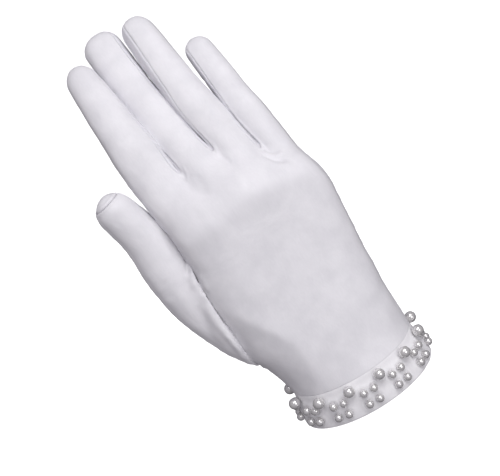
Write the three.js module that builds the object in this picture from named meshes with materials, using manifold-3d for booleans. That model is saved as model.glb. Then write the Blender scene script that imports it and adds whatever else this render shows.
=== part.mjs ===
// A wrist length satin dress glove for the right hand, in the shape it has when it is worn.
// Millimetres. The cuff opening lies in the plane z = 0 with its centre at the origin, the
// fingers point up (+Z), the back of the hand faces -Y and the thumb is on the -X side.
//
// The cloth is cut and joined as a real glove is: a back panel and a palm panel that meet at
// the hand's two sides and over the fingertips, three fourchettes that line the sides
// of neighbouring fingers, the two halves of a thumb set into a hole, and a turned hem with
// pearls on it.
import * as THREE from "three";
import { mergeVertices } from "three/addons/utils/BufferGeometryUtils.js";
import Module from "manifold-3d";

const wasm = await Module();
wasm.setup();

// Cloth
const WALL = 1.0; // satin with its knitted backing
const HEM_WALL = 1.9; // the hem is turned in, so it is two layers
const SEAM_GAP = 0.3; // between two pieces that are sewn together

// Hand, measured along the cloth from the hem's edge
const HAND_LENGTH = 136; // hem to the crotch between index and middle finger
const PALM_DEPTH = 33; // back to palm across the knuckles
const CUFF_WIDTH = 69;
const CUFF_DEPTH = 53;
const FINGER_GAP = 0.9; // between the walls of two neighbouring fingers

// Cuff
const HEM_HEIGHT = 17;
const LARGE_PEARL = 5.6;
const SMALL_PEARL = 4.0;
const PEARL_MOTIFS = 12;
const LARGE_PEARL_HEIGHT = 15.2; // above the hem's edge
const SMALL_PEARL_UPPER = 10.8;
const SMALL_PEARL_LOWER = 5.0;
const SMALL_PEARL_PITCH = 5.0; // between the two small pearls of one row of a motif
const PEARL_GAP = 0.3;
const SMALL_PEARL_SUNK = 0.45; // how deep a small pearl sits in the cloth it is fused to
const FIRST_PEARL = -9.2; // along the hem from the middle of the hand's back to a large pearl
const CUFF_NECK = 0.925; // width of the hem's upper edge as a share of its lower edge's
const HEM_ROWS = [0, 0.3, 0.65]; // rows of its outer side below the upper edge, as shares of it
const HEM_INNER_ROW = 0.5; // and the row of its inner side

// Fingers from thumb side to little finger side. Length runs from the crotch on the finger's
// thumb side to the tip. Half way and at the tip the width is a share of the root's. Shift moves
// the tip towards the thumb, ahead the root and tipAhead the tip towards the back of the hand.
const FINGERS = [
  { name: "index", width: 21.4, halfway: 0.96, tip: 0.74, depth: 17.6, length: 71 },
  { name: "middle", width: 17.0, halfway: 0.92, tip: 1.1, depth: 17.0, length: 82 },
  { name: "ring", width: 17.4, halfway: 0.9, tip: 0.93, depth: 16.6, length: 77.2 },
  { name: "little", width: 13.3, halfway: 1.06, tip: 1.03, depth: 14.2, length: 63 },
];
const FINGER_SETS = [
  { shift: 0.3, ahead: 0.4, tipAhead: 4.0 },
  { shift: 3.8, ahead: 1.0, tipAhead: -3.6 },
  { shift: 4.2, ahead: 0.4, tipAhead: 0.6 },
  { shift: 1.6, ahead: -1.6, tipAhead: -2.6 },
];
// How far each finger root lies below HAND_LENGTH, from the hand's thumb side to its little
// finger side: the outer side of the index finger, three crotches, the outer side of the little.
const ROOT_DROP = [2, 0, 0.5, 12.5, 17];
const PALM_CROTCH_RISE = 4.5; // a crotch lies higher on the palm side than on the back
const FOURCHETTE_DEPTH = 0.62; // their edges at the roots, as a share of a finger's half depth
const TIP_CAP = 0.52; // length of a fingertip's round end, as a share of the finger's width

// Thumb
const THUMB_HOLD = 0.6; // the share of HAND_LENGTH where the thumb's frame is fixed to the hand
const THUMB_WIDTH = 25;
const THUMB_DEPTH = 21;
const THUMB_REACH = 148; // height of its tip above the hem's edge, along the hand
const THUMB_SEAM = 0.22; // its halves meet this share of half its depth behind its line

// Bends of the worn hand: where along the hand, over what length, and how many degrees it turns
// towards the palm (pitch) and towards the thumb (lean). Places are shares of HAND_LENGTH.
const BENDS = [
  { name: "wrist", at: 0.25, over: 0.2, pitch: 6, lean: 4.5 },
  { name: "knuckles", at: 0.775, over: 0.14, pitch: 19, lean: 0 },
  { name: "middle_joints", at: 1.17, over: 0.2, pitch: 8, lean: 0 },
  { name: "end_joints", at: 1.38, over: 0.16, pitch: 6, lean: 0 },
];

// Sections of the hand below the fingers. Places are shares of the length from the hem's edge
// to HAND_LENGTH, left and right shares of half the width across the finger roots, and back and
// palm shares of half PALM_DEPTH. The two lowest rows are the cuff and follow its own sizes.
const PALM_SECTIONS = [
  { at: 0.21, left: 0.96, right: 0.88, back: 1.3, palm: 1.3, square: 2.1 },
  { at: 0.28, left: 1.03, right: 0.88, back: 1.22, palm: 1.28, square: 2.15 },
  { at: 0.34, left: 1.12, right: 0.91, back: 1.16, palm: 1.26, square: 2.2 },
  { at: 0.44, left: 1.11, right: 0.95, back: 1.08, palm: 1.22, square: 2.3 },
  { at: 0.6, left: 1.05, right: 1.045, back: 1.0, palm: 1.14, square: 2.45 },
  { at: 0.71, left: 1.0, right: 1.1, back: 0.98, palm: 1.06, square: 2.55 },
  { at: 0.82, left: 0.975, right: 1.05, back: 0.96, palm: 0.96, square: 2.6 },
  { at: 1.0, left: 0.975, right: 1.0, back: 0.82, palm: 0.8, square: 2.7 },
];

// Sections of a finger between its root and its round end: depth as a share of the finger's own,
// and how much of its shift it has made by there.
const FINGER_SECTIONS = [
  { at: 0.0, depth: 1.06, moved: 0.0 },
  { at: 0.2, depth: 0.98, moved: 0.42 },
  { at: 0.45, depth: 0.96, moved: 0.78 },
  { at: 0.7, depth: 0.91, moved: 0.97 },
  { at: 1.0, depth: 0.84, moved: 1.0 },
];

// The thumb's line and sections: at as a share of THUMB_REACH, across as a share of half the
// width across the finger roots, behind as a share of half PALM_DEPTH.
const THUMB_SECTIONS = [
  { at: 0.29, across: -0.78, behind: 0.12, width: 0.72, depth: 0.8 },
  { at: 0.36, across: -0.96, behind: 0.18, width: 0.86, depth: 0.9 },
  { at: 0.45, across: -1.1, behind: 0.26, width: 0.96, depth: 0.98 },
  { at: 0.56, across: -1.2, behind: 0.36, width: 1.0, depth: 1.0 },
  { at: 0.68, across: -1.25, behind: 0.46, width: 0.98, depth: 0.96 },
  { at: 0.81, across: -1.26, behind: 0.55, width: 0.84, depth: 0.86 },
  { at: 0.93, across: -1.35, behind: 0.56, width: 0.74, depth: 0.78 },
];

// How finely the solids are faceted
const BACK_COLUMNS = 4; // across one finger
const PALM_ROWS = [0, 0.14, 0.3, 0.46, 0.62, 0.76, 0.9];
const LUMPS_START = 0.62; // the share of those rows' height where the finger sections begin to show
const FINGER_ROWS = [0.06, 0.2, 0.4, 0.6, 0.8, 1];
const CAP_ANGLES = [38, 66];
const FOURCHETTE_END_ROW = 5; // the finger row at which a fourchette ends
const THUMB_SIDES = 14;
const HEM_SIDES = 36;
const LARGE_PEARL_SIDES = 12;
const LARGE_PEARL_RINGS = 7;
const SMALL_PEARL_SIDES = 10;
const SMALL_PEARL_RINGS = 5;

// Seam angles of a finger's section, measured from its flank: where a fourchette meets the panels
const FOURCHETTE_ANGLE = 38;
const FOURCHETTE_END_ANGLE = 12;
const FINGER_SQUARE = 2.3; // exponent of the finger's superellipse, 2 is a plain ellipse
const MOST_MITRE = 1.35; // how much thicker than WALL a mitred corner may get
const SHARPEST_CORNER = 2.5; // how far a sharp corner of a piece may be drawn back, in seam gaps

const rad = THREE.MathUtils.degToRad;
const mix = THREE.MathUtils.lerp;
const smooth = (x) => THREE.MathUtils.smoothstep(x, 0, 1);

const rootWidth = FINGERS.reduce((sum, f) => sum + f.width, 0) + FINGER_GAP * 3;
const halfWidth = rootWidth / 2;
const halfDepth = PALM_DEPTH / 2;

// A row for the cuff, in shares like those of PALM_SECTIONS.
function cuffSection(height, share) {
  const across = (CUFF_WIDTH * share) / rootWidth;
  const deep = (CUFF_DEPTH * share) / PALM_DEPTH;
  const at = height / HAND_LENGTH;
  return { at, left: across, right: across, back: deep, palm: deep, square: 2 };
}

const sections = [cuffSection(0, 1), cuffSection(HEM_HEIGHT, CUFF_NECK), ...PALM_SECTIONS];

// One column of a table at any place, smooth through its rows.
function read(table, column, place) {
  const last = table.length - 1;
  let i = 0;
  while (i < last - 1 && place > table[i + 1].at) i++;
  const slope = (k) => {
    const a = table[Math.max(k - 1, 0)];
    const b = table[Math.min(k + 1, last)];
    return (b[column] - a[column]) / (b.at - a.at);
  };
  const span = table[i + 1].at - table[i].at;
  const t = THREE.MathUtils.clamp((place - table[i].at) / span, 0, 1);
  const [p, q] = [table[i][column], table[i + 1][column]];
  const [m, n] = [slope(i) * span, slope(i + 1) * span];
  return (
    p * (2 * t ** 3 - 3 * t * t + 1) +
    m * (t ** 3 - 2 * t * t + t) +
    q * (3 * t * t - 2 * t ** 3) +
    n * (t ** 3 - t * t)
  );
}

// The hand's spine: its place and its axes at each step along the hand.
const STEP = 0.5;
const spine = [];
{
  const at = new THREE.Vector3();
  const reach = HAND_LENGTH + 1.3 * Math.max(...FINGERS.map((f) => f.length));
  for (let s = 0; s <= reach; s += STEP) {
    let pitch = 0;
    let lean = 0;
    for (const bend of BENDS) {
      const turned = smooth((s / HAND_LENGTH - bend.at) / bend.over + 0.5);
      pitch += rad(bend.pitch) * turned;
      lean += rad(bend.lean) * turned;
    }
    const axes = new THREE.Matrix4()
      .makeRotationX(-pitch)
      .multiply(new THREE.Matrix4().makeRotationY(-lean));
    spine.push({ at: at.clone(), axes });
    at.addScaledVector(new THREE.Vector3(0, 0, 1).transformDirection(axes), STEP);
  }
}

// A point of the flat-laid hand, x across, y deep and s along, carried onto the bent hand.
function worn(x, y, s) {
  const i = Math.min(Math.floor(s / STEP), spine.length - 2);
  const t = s / STEP - i;
  const near = new THREE.Vector3(x, y, 0).applyMatrix4(spine[i].axes).add(spine[i].at);
  const far = new THREE.Vector3(x, y, 0).applyMatrix4(spine[i + 1].axes).add(spine[i + 1].at);
  return near.lerp(far, t);
}

// A point carried with the back of the hand alone, without the bends of the fingers.
function wornByHand(x, y, s) {
  const rigid = spine[Math.round((THUMB_HOLD * HAND_LENGTH) / STEP)];
  const along = s - THUMB_HOLD * HAND_LENGTH;
  return new THREE.Vector3(x, y, along).applyMatrix4(rigid.axes).add(rigid.at);
}

// A point of the hand below the fingers: u runs 0 to 1 across, side is -1 on the back.
function handPoint(u, side, s) {
  const place = s / HAND_LENGTH;
  const left = -halfWidth * read(sections, "left", place);
  const right = halfWidth * read(sections, "right", place);
  const depth = halfDepth * read(sections, side < 0 ? "back" : "palm", place);
  const power = read(sections, "square", place);
  const bulge = (1 - Math.abs(2 * u - 1) ** power) ** (1 / power);
  return { x: mix(left, right, u), y: side * depth * bulge, s };
}

// A finger's place across the hand, its root heights and its sections.
function fingerFrame(index) {
  const finger = FINGERS[index];
  const before = FINGERS.slice(0, index).reduce((sum, f) => sum + f.width + FINGER_GAP, 0);
  const centre = -halfWidth + before + finger.width / 2;
  const tip = HAND_LENGTH - ROOT_DROP[Math.max(index, 1)] + finger.length;
  const cap = finger.width * TIP_CAP;
  return { finger, centre, tip, cap };
}

// A point of a finger at a share t of its straight length and an angle round its section.
// Past t = 1 the section shrinks as a round end does, by capAngle.
function fingerPoint(index, t, angle, rootHeight, capAngle = 0) {
  const { finger, centre, tip, cap } = fingerFrame(index);
  const close = Math.cos(rad(capAngle));
  const spread = 1 + (4 * finger.halfway - finger.tip - 3) * t;
  const taper = spread + (2 * finger.tip - 4 * finger.halfway + 2) * t * t;
  const wide = (finger.width / 2) * taper * close;
  const deep = (finger.depth / 2) * read(FINGER_SECTIONS, "depth", t) * close;
  const [c, d] = [Math.cos(rad(angle)), Math.sin(rad(angle))];
  const power = 2 / FINGER_SQUARE;
  const moved = read(FINGER_SECTIONS, "moved", t);
  const { shift, ahead, tipAhead } = FINGER_SETS[index];
  return {
    x: centre - shift * moved + wide * Math.sign(c) * Math.abs(c) ** power,
    y: -deep * Math.sign(d) * Math.abs(d) ** power - mix(ahead, tipAhead, moved),
    s: mix(rootHeight, tip - cap, t) + cap * Math.sin(rad(capAngle)),
  };
}

// The net: one welded sheet over the whole hand, each face labelled with the piece it belongs to.
const net = { points: [], faces: [] };
const addPoint = (p) => net.points.push(worn(p.x, p.y, p.s)) - 1;
const addFace = (piece, ...corners) => net.faces.push({ piece, corners });

// Height of a finger root: k counts the five roots from the thumb side, side is -1 on the back.
function rootHeight(k, side) {
  const crotch = k > 0 && k < FINGERS.length;
  return HAND_LENGTH - ROOT_DROP[k] + (crotch && side > 0 ? PALM_CROTCH_RISE : 0);
}

// The loop of points at the finger roots, on the back from the thumb side to the little finger
// side, then the little finger's flank, the palm back to the thumb side, and the index flank.
function rootLoop() {
  const loop = [];
  const sideRow = (side) => {
    const row = [];
    FINGERS.forEach((finger, index) => {
      const { centre } = fingerFrame(index);
      const leftEdge = centre - (finger.width + FINGER_GAP) / 2;
      const rightEdge = centre + (finger.width + FINGER_GAP) / 2;
      for (let c = index ? 1 : 0; c <= BACK_COLUMNS; c++) {
        const share = c / BACK_COLUMNS;
        const angle = mix(180 - FOURCHETTE_ANGLE, FOURCHETTE_ANGLE, share);
        const height = mix(rootHeight(index, side), rootHeight(index + 1, side), share);
        const onFinger = fingerPoint(index, 0, -side * angle, height);
        const outer = (index === 0 && c === 0) || (index === 3 && c === BACK_COLUMNS);
        if (!outer && (c === 0 || c === BACK_COLUMNS)) {
          const deep = (finger.depth / 2) * FOURCHETTE_DEPTH;
          onFinger.x = c === 0 ? leftEdge : rightEdge;
          onFinger.y = side * deep - FINGER_SETS[index].ahead;
        }
        row.push({ ...onFinger, s: height });
      }
    });
    return row;
  };
  const flank = (index, angle, k) => fingerPoint(index, 0, angle, rootHeight(k, -1));
  loop.push(...sideRow(-1));
  loop.push(flank(3, 0, 4));
  loop.push(...sideRow(1).reverse());
  loop.push(flank(0, 180, 0));
  return loop;
}

const roots = rootLoop();
const backCount = FINGERS.length * BACK_COLUMNS + 1;
const loopCount = roots.length;
const hemTop = HEM_HEIGHT + SEAM_GAP / 2;

// Rows of the hand below the fingers: each column rises from the hem to its own root height and
// eases from the hand's oval into the row of finger sections.
const rows = PALM_ROWS.map((share) =>
  roots.map((root, column) => {
    const side = column < backCount ? -1 : 1;
    const flank = column === backCount || column === loopCount - 1;
    const u = THREE.MathUtils.clamp((root.x + halfWidth) / rootWidth, 0, 1);
    const p = handPoint(flank ? Math.round(u) : u, side, mix(hemTop, root.s, share));
    const ease = smooth((share - LUMPS_START) / (1 - LUMPS_START));
    return addPoint({ x: mix(p.x, root.x, ease), y: mix(p.y, root.y, ease), s: p.s });
  }),
);
rows.push(roots.map(addPoint));

// The piece that a face of the loop belongs to: the flank column splits back from palm.
const loopPiece = (column) =>
  column < backCount || column === loopCount - 1 ? "back_panel" : "palm_panel";
for (let r = 0; r + 1 < rows.length; r++) {
  for (let c = 0; c < loopCount; c++) {
    const next = (c + 1) % loopCount;
    addFace(loopPiece(c), rows[r][c], rows[r][next], rows[r + 1][next], rows[r + 1][c]);
  }
}

// The middles of the three crotches, shared by the fingers on both sides.
const rootTop = rows[rows.length - 1];
const backIndex = (index, c) => index * BACK_COLUMNS + c;
const palmIndex = (index, c) => backCount + 1 + (backCount - 1 - backIndex(index, c));
const saddles = [1, 2, 3].map((k) => {
  const [b, p] = [roots[backIndex(k, 0)], roots[palmIndex(k, 0)]];
  return addPoint({ x: b.x, y: (b.y + p.y) / 2, s: (b.s + p.s) / 2 });
});

// A finger's loop: back from its thumb side, far flank, palm, near flank.
const flankOf = [
  (index) => (index === 3 ? rootTop[backCount] : saddles[index]),
  (index) => (index === 0 ? rootTop[loopCount - 1] : saddles[index - 1]),
];
FINGERS.forEach((finger, index) => {
  const angles = [];
  let loop = [];
  for (let c = 0; c <= BACK_COLUMNS; c++) {
    loop.push(rootTop[backIndex(index, c)]);
    angles.push(mix(180 - FOURCHETTE_ANGLE, FOURCHETTE_ANGLE, c / BACK_COLUMNS));
  }
  loop.push(flankOf[0](index));
  angles.push(0);
  for (let c = BACK_COLUMNS; c >= 0; c--) {
    loop.push(rootTop[palmIndex(index, c)]);
    angles.push(-mix(180 - FOURCHETTE_ANGLE, FOURCHETTE_ANGLE, c / BACK_COLUMNS));
  }
  loop.push(flankOf[1](index));
  angles.push(180);

  // Heights of the loop's points, so that each column rises from its own root.
  const heights = angles.map((angle, i) => {
    const side = angle > 0 && angle < 180 ? -1 : 1;
    if (i <= BACK_COLUMNS) return roots[backIndex(index, i)].s;
    if (angle < 0) return roots[palmIndex(index, BACK_COLUMNS - (i - BACK_COLUMNS - 2))].s;
    const k = angle === 0 ? index + 1 : index;
    return (rootHeight(k, -1) + rootHeight(k, side)) / 2;
  });

  // Which piece the face between two neighbouring columns belongs to, in row r.
  const piece = (column, r) => {
    const nearFlank = column > 2 * BACK_COLUMNS + 1;
    const flank = column === BACK_COLUMNS || column === BACK_COLUMNS + 1 || nearFlank;
    const k = nearFlank ? index : index + 1;
    if (flank && k > 0 && k < FINGERS.length && r < FOURCHETTE_END_ROW) {
      return `fourchette_${FINGERS[k - 1].name}_${FINGERS[k].name}`;
    }
    return column <= BACK_COLUMNS || column === loop.length - 1 ? "back_panel" : "palm_panel";
  };

  const stops = FINGER_ROWS.map((t) => ({ t, cap: 0 }));
  CAP_ANGLES.forEach((cap) => stops.push({ t: 1, cap }));
  stops.forEach((stop, r) => {
    const narrow = smooth((r + 1) / FOURCHETTE_END_ROW) * (1 - FOURCHETTE_END_ANGLE / FOURCHETTE_ANGLE);
    const above = angles.map((angle, i) => {
      const flank = angle % 180 === 0;
      const nearest = Math.abs(angle) > 90 ? 180 * Math.sign(angle) : 0;
      const edge = !flank && Math.abs(Math.abs(angle - nearest) - FOURCHETTE_ANGLE) < 1e-6;
      const at = edge ? mix(angle, nearest, narrow) : angle;
      return addPoint(fingerPoint(index, stop.t, at, heights[i], stop.cap));
    });
    loop.forEach((corner, i) => {
      const next = (i + 1) % loop.length;
      addFace(piece(i, r), corner, loop[next], above[next], above[i]);
    });
    loop = above;
  });
  const pole = addPoint(fingerPoint(index, 1, 90, 0, 90));
  loop.forEach((corner, i) => {
    addFace(piece(i, stops.length), corner, loop[(i + 1) % loop.length], pole);
  });
});

// Outward normals of the welded net, lengthened at creases so that a wall keeps its thickness.
function faceNormal(corners) {
  const [a, b, c] = corners.map((i) => net.points[i]);
  const d = net.points[corners[corners.length - 1]];
  return c.clone().sub(a).cross(d.clone().sub(b)).add(b.clone().sub(a).cross(c.clone().sub(a)));
}

const normals = net.points.map(() => new THREE.Vector3());
const touching = net.points.map(() => []);
for (const { corners } of net.faces) {
  const n = faceNormal(corners).normalize();
  for (const i of corners) {
    normals[i].add(n);
    touching[i].push(n);
  }
}
normals.forEach((normal, i) => {
  normal.normalize();
  const meet = touching[i].reduce((sum, n) => sum + n.dot(normal), 0) / touching[i].length;
  normal.multiplyScalar(Math.min(1 / Math.max(meet, 0.1), MOST_MITRE));
});

// A closed solid from plain triangles.
function solid(points, triangles) {
  const geometry = new THREE.BufferGeometry();
  const flat = triangles.flatMap((t) => t.flatMap((i) => points[i].toArray()));
  geometry.setAttribute("position", new THREE.Float32BufferAttribute(flat, 3));
  return solidFrom(geometry);
}

function solidFrom(geometry) {
  const bare = geometry.index ? geometry.toNonIndexed() : geometry.clone();
  bare.deleteAttribute("normal");
  bare.deleteAttribute("uv");
  const merged = mergeVertices(bare, 1e-4);
  return new wasm.Manifold(
    new wasm.Mesh({
      numProp: 3,
      vertProperties: new Float32Array(merged.attributes.position.array),
      triVerts: new Uint32Array(merged.index.array),
    }),
  );
}

const cut = (corners) =>
  corners.length === 3
    ? [corners]
    : [
        [corners[0], corners[1], corners[2]],
        [corners[0], corners[2], corners[3]],
      ];

// Directed edges of some faces that no other of them shares: the faces' border.
function borderOf(triangles) {
  const edges = new Map();
  for (const t of triangles) {
    t.forEach((a, i) => edges.set(`${a} ${t[(i + 1) % 3]}`, [a, t[(i + 1) % 3], t]));
  }
  return [...edges.values()].filter(([a, b]) => !edges.has(`${b} ${a}`));
}

// One piece of cloth: its faces of the net, drawn back from each seam and given a thickness.
function clothPiece(name) {
  const triangles = net.faces.filter((f) => f.piece === name).flatMap((f) => cut(f.corners));
  const border = borderOf(triangles);
  const inward = new Map();
  for (const [a, b, t] of border) {
    const along = net.points[b].clone().sub(net.points[a]).normalize();
    const into = faceNormal(t).normalize().cross(along);
    for (const i of [a, b]) inward.set(i, [...(inward.get(i) || []), into]);
  }
  const used = [...new Set(triangles.flat())];
  const index = new Map(used.map((old, i) => [old, i]));
  const outer = used.map((i) => {
    const [one, two] = inward.get(i) || [new THREE.Vector3(), new THREE.Vector3()];
    const corner = Math.min(1 / (1 + one.dot(two)), SHARPEST_CORNER);
    return net.points[i].clone().addScaledVector(one.clone().add(two), (corner * SEAM_GAP) / 2);
  });
  const inner = used.map((old, i) => outer[i].clone().addScaledVector(normals[old], -WALL));
  const count = used.length;
  const out = triangles.map((t) => t.map((i) => index.get(i)));
  const back = out.map(([a, b, c]) => [a + count, c + count, b + count]);
  // Both pieces at a seam cut its narrow faces along the same diagonal, so they stay apart.
  const rim = border.flatMap(([a, b]) => {
    const [p, q] = [index.get(a), index.get(b)];
    return a < b
      ? [
          [q, p, p + count],
          [q, p + count, q + count],
        ]
      : [
          [q, p, q + count],
          [p, p + count, q + count],
        ];
  });
  return solid([...outer, ...inner], [...out, ...back, ...rim]);
}

// The whole hand as one closed solid, its skin moved in by some amount.
function handSolid(inset) {
  const points = net.points.map((p, i) => p.clone().addScaledVector(normals[i], -inset));
  const triangles = net.faces.flatMap((f) => cut(f.corners));
  const floor = points.length;
  points.push(worn(0, 0, hemTop));
  for (const [a, b] of borderOf(triangles)) triangles.push([b, a, floor]);
  return solid(points, triangles);
}

// The thumb's stations from its foot to its tip: a centre, the way its line runs, the directions
// across it and away from the back of the hand, and its half width and half depth there.
function thumbStations() {
  const line = new THREE.CatmullRomCurve3(
    THUMB_SECTIONS.map(({ at, across, behind }) =>
      wornByHand(across * halfWidth, behind * halfDepth, at * THUMB_REACH),
    ),
  );
  const deepAxis = wornByHand(0, 1, 0).sub(wornByHand(0, 0, 0));
  const last = THUMB_SECTIONS.length - 1;
  const count = 2 * last;
  const stations = [];
  for (let k = 0; k <= count; k++) {
    const t = k / count;
    const i = Math.min(Math.floor(t * last), last - 1);
    const at = mix(THUMB_SECTIONS[i].at, THUMB_SECTIONS[i + 1].at, t * last - i);
    const way = line.getTangent(t);
    const across = deepAxis.clone().cross(way).normalize();
    stations.push({
      centre: line.getPoint(t),
      way,
      across,
      away: way.clone().cross(across).normalize(),
      wide: (THUMB_WIDTH / 2) * read(THUMB_SECTIONS, "width", at),
      deep: (THUMB_DEPTH / 2) * read(THUMB_SECTIONS, "depth", at),
    });
  }
  return stations;
}

const thumbCap = THUMB_REACH * (1 - THUMB_SECTIONS[THUMB_SECTIONS.length - 1].at);

// A closed solid through rings of as many points each, with a point at either end.
function ringSolid(rings, foot, tip) {
  const sides = rings[0].length;
  const points = [...rings.flat(), foot, tip];
  const triangles = [];
  for (let r = 0; r + 1 < rings.length; r++) {
    for (let i = 0; i < sides; i++) {
      const [a, b] = [r * sides + i, r * sides + ((i + 1) % sides)];
      triangles.push([a, b, b + sides], [a, b + sides, a + sides]);
    }
  }
  const top = (rings.length - 1) * sides;
  const [first, last] = [points.length - 2, points.length - 1];
  for (let i = 0; i < sides; i++) {
    const next = (i + 1) % sides;
    triangles.push([first, next, i], [top + i, top + next, last]);
  }
  const made = solid(points, triangles);
  return made.volume() < 0 ? solid(points, triangles.map(([a, b, c]) => [a, c, b])) : made;
}

// The thumb as one closed solid, grown outwards by some amount.
function thumbSolid(grow) {
  const ring = ({ centre, across, away, wide, deep }, raised, close) => {
    const points = [];
    for (let i = 0; i < THUMB_SIDES; i++) {
      const angle = (2 * Math.PI * i) / THUMB_SIDES;
      points.push(
        centre
          .clone()
          .add(raised)
          .addScaledVector(across, (wide + grow) * close * Math.cos(angle))
          .addScaledVector(away, (deep + grow) * close * Math.sin(angle)),
      );
    }
    return points;
  };
  const stations = thumbStations();
  const end = stations[stations.length - 1];
  const cap = end.way.clone().multiplyScalar(thumbCap + grow);
  const rings = stations.map((station) => ring(station, new THREE.Vector3(), 1));
  for (const angle of CAP_ANGLES) {
    const raised = cap.clone().multiplyScalar(Math.sin(rad(angle)));
    rings.push(ring(end, raised, Math.cos(rad(angle))));
  }
  return ringSolid(rings, stations[0].centre, end.centre.clone().add(cap));
}

// All the room on one side of the thumb's seam: side is -1 towards the back of the hand.
function thumbSide(side) {
  const reach = THUMB_WIDTH;
  const stations = thumbStations();
  const end = stations[stations.length - 1];
  const beyond = end.centre.clone().addScaledVector(end.way, 2 * thumbCap);
  const before = stations[0].centre.clone().addScaledVector(stations[0].way, -thumbCap);
  const rings = [{ ...stations[0], centre: before }, ...stations, { ...end, centre: beyond }].map(
    ({ centre, across, away, deep }) => {
      const seam = -THUMB_SEAM * deep + (side * SEAM_GAP) / 2;
      return [
        [-reach, seam],
        [reach, seam],
        [reach, side * reach],
        [-reach, side * reach],
      ].map(([a, b]) => centre.clone().addScaledVector(across, a).addScaledVector(away, b));
    },
  );
  const middle = (ring) => ring.reduce((sum, p) => sum.add(p), new THREE.Vector3()).divideScalar(4);
  return ringSolid(rings, middle(rings[0]), middle(rings[rings.length - 1]));
}

// The cuff's oval at a height above the hem's edge, as points at equal angles.
function cuffPoint(angle, height, inset = 0) {
  const place = height / HAND_LENGTH;
  const wide = halfWidth * read(sections, "right", place) - inset;
  const deep = halfDepth * read(sections, "back", place) - inset;
  return new THREE.Vector3(wide * Math.cos(angle), deep * Math.sin(angle), height);
}

// The turned hem, before its pearls are put on.
function hemRing() {
  const upper = HEM_HEIGHT - SEAM_GAP / 2;
  const profile = [
    { height: 0, inset: HEM_WALL },
    ...HEM_ROWS.map((share) => ({ height: HEM_HEIGHT * share, inset: 0 })),
    { height: upper, inset: 0 },
    { height: upper, inset: HEM_WALL },
    { height: HEM_HEIGHT * HEM_INNER_ROW, inset: HEM_WALL },
  ];
  const points = [];
  const triangles = [];
  for (let i = 0; i < HEM_SIDES; i++) {
    const angle = (2 * Math.PI * i) / HEM_SIDES;
    profile.forEach(({ height, inset }) => points.push(cuffPoint(angle, height, inset)));
  }
  const n = profile.length;
  for (let i = 0; i < HEM_SIDES; i++) {
    const next = (i + 1) % HEM_SIDES;
    for (let k = 0; k < n; k++) {
      const up = (k + 1) % n;
      const [a, b, c, d] = [i * n + k, next * n + k, next * n + up, i * n + up];
      triangles.push([a, b, c], [a, c, d]);
    }
  }
  return solid(points, triangles);
}

// Angles at which the motifs start, at equal lengths along the cuff's oval.
function evenAngles(count, height) {
  const fine = 720;
  const lengths = [0];
  for (let i = 1; i <= fine; i++) {
    const [a, b] = [i - 1, i].map((k) => cuffPoint((2 * Math.PI * k) / fine, height));
    lengths.push(lengths[i - 1] + a.distanceTo(b));
  }
  const total = lengths[fine];
  return {
    total,
    angleAt(length) {
      const wanted = THREE.MathUtils.euclideanModulo(length, total);
      const i = lengths.findIndex((l) => l >= wanted);
      return (2 * Math.PI * i) / fine;
    },
    pitch: total / count,
  };
}

// A pearl's centre, its surface a given distance off the cloth.
function pearlCentre(angle, height, radius, clear) {
  const step = 0.01;
  const here = cuffPoint(angle, height);
  const along = cuffPoint(angle + step, height).sub(here);
  const up = cuffPoint(angle, height + step).sub(here);
  return here.addScaledVector(along.cross(up).normalize(), radius + clear);
}

// Materials
const satin = new THREE.MeshStandardMaterial({ color: 0xe9e8ec, roughness: 0.42 });
const satinSide = new THREE.MeshStandardMaterial({ color: 0xe4e3e8, roughness: 0.46 });
const pearl = new THREE.MeshStandardMaterial({ color: 0xdedcd8, roughness: 0.16, metalness: 0.25 });

const glove = new THREE.Group();

function addMesh(name, made, material) {
  const mesh = made.getMesh();
  const geometry = new THREE.BufferGeometry();
  geometry.setAttribute("position", new THREE.BufferAttribute(mesh.vertProperties, 3));
  geometry.setIndex(new THREE.BufferAttribute(mesh.triVerts, 1));
  geometry.computeVertexNormals();
  const node = new THREE.Mesh(geometry, material);
  node.name = name;
  glove.add(node);
}

// Cloth pieces. The thumb's hole is cut through both panels, and the thumb's halves stop where
// they have passed through their wall.
const thumbHole = thumbSolid(SEAM_GAP);
const thumb = thumbSolid(0).subtract(thumbSolid(-WALL)).subtract(handSolid(WALL));
for (const name of ["back_panel", "palm_panel"]) {
  addMesh(name, clothPiece(name).subtract(thumbHole), satin);
}
for (let k = 1; k < FINGERS.length; k++) {
  const name = `fourchette_${FINGERS[k - 1].name}_${FINGERS[k].name}`;
  addMesh(name, clothPiece(name), satinSide);
}
addMesh("thumb_back", thumb.intersect(thumbSide(-1)), satin);
addMesh("thumb_palm", thumb.intersect(thumbSide(1)), satin);

// The hem with its small pearls: two by two between each two large pearls.
const oval = evenAngles(PEARL_MOTIFS, LARGE_PEARL_HEIGHT);
const frontMiddle = 0.75 * oval.total;
const smallOffsets = [-0.5, 0.5].map((share) => share * SMALL_PEARL_PITCH);
let hem = hemRing();
const smallPearl = solidFrom(
  new THREE.SphereGeometry(SMALL_PEARL / 2, SMALL_PEARL_SIDES, SMALL_PEARL_RINGS),
);
for (let i = 0; i < PEARL_MOTIFS; i++) {
  const middle = frontMiddle + FIRST_PEARL + (i + 0.5) * oval.pitch;
  for (const height of [SMALL_PEARL_UPPER, SMALL_PEARL_LOWER]) {
    for (const offset of smallOffsets) {
      const angle = oval.angleAt(middle + offset);
      const at = pearlCentre(angle, height, SMALL_PEARL / 2, -SMALL_PEARL_SUNK);
      hem = hem.add(smallPearl.translate(at.toArray()));
    }
  }
}
addMesh("pearled_hem", hem, satin);

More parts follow.
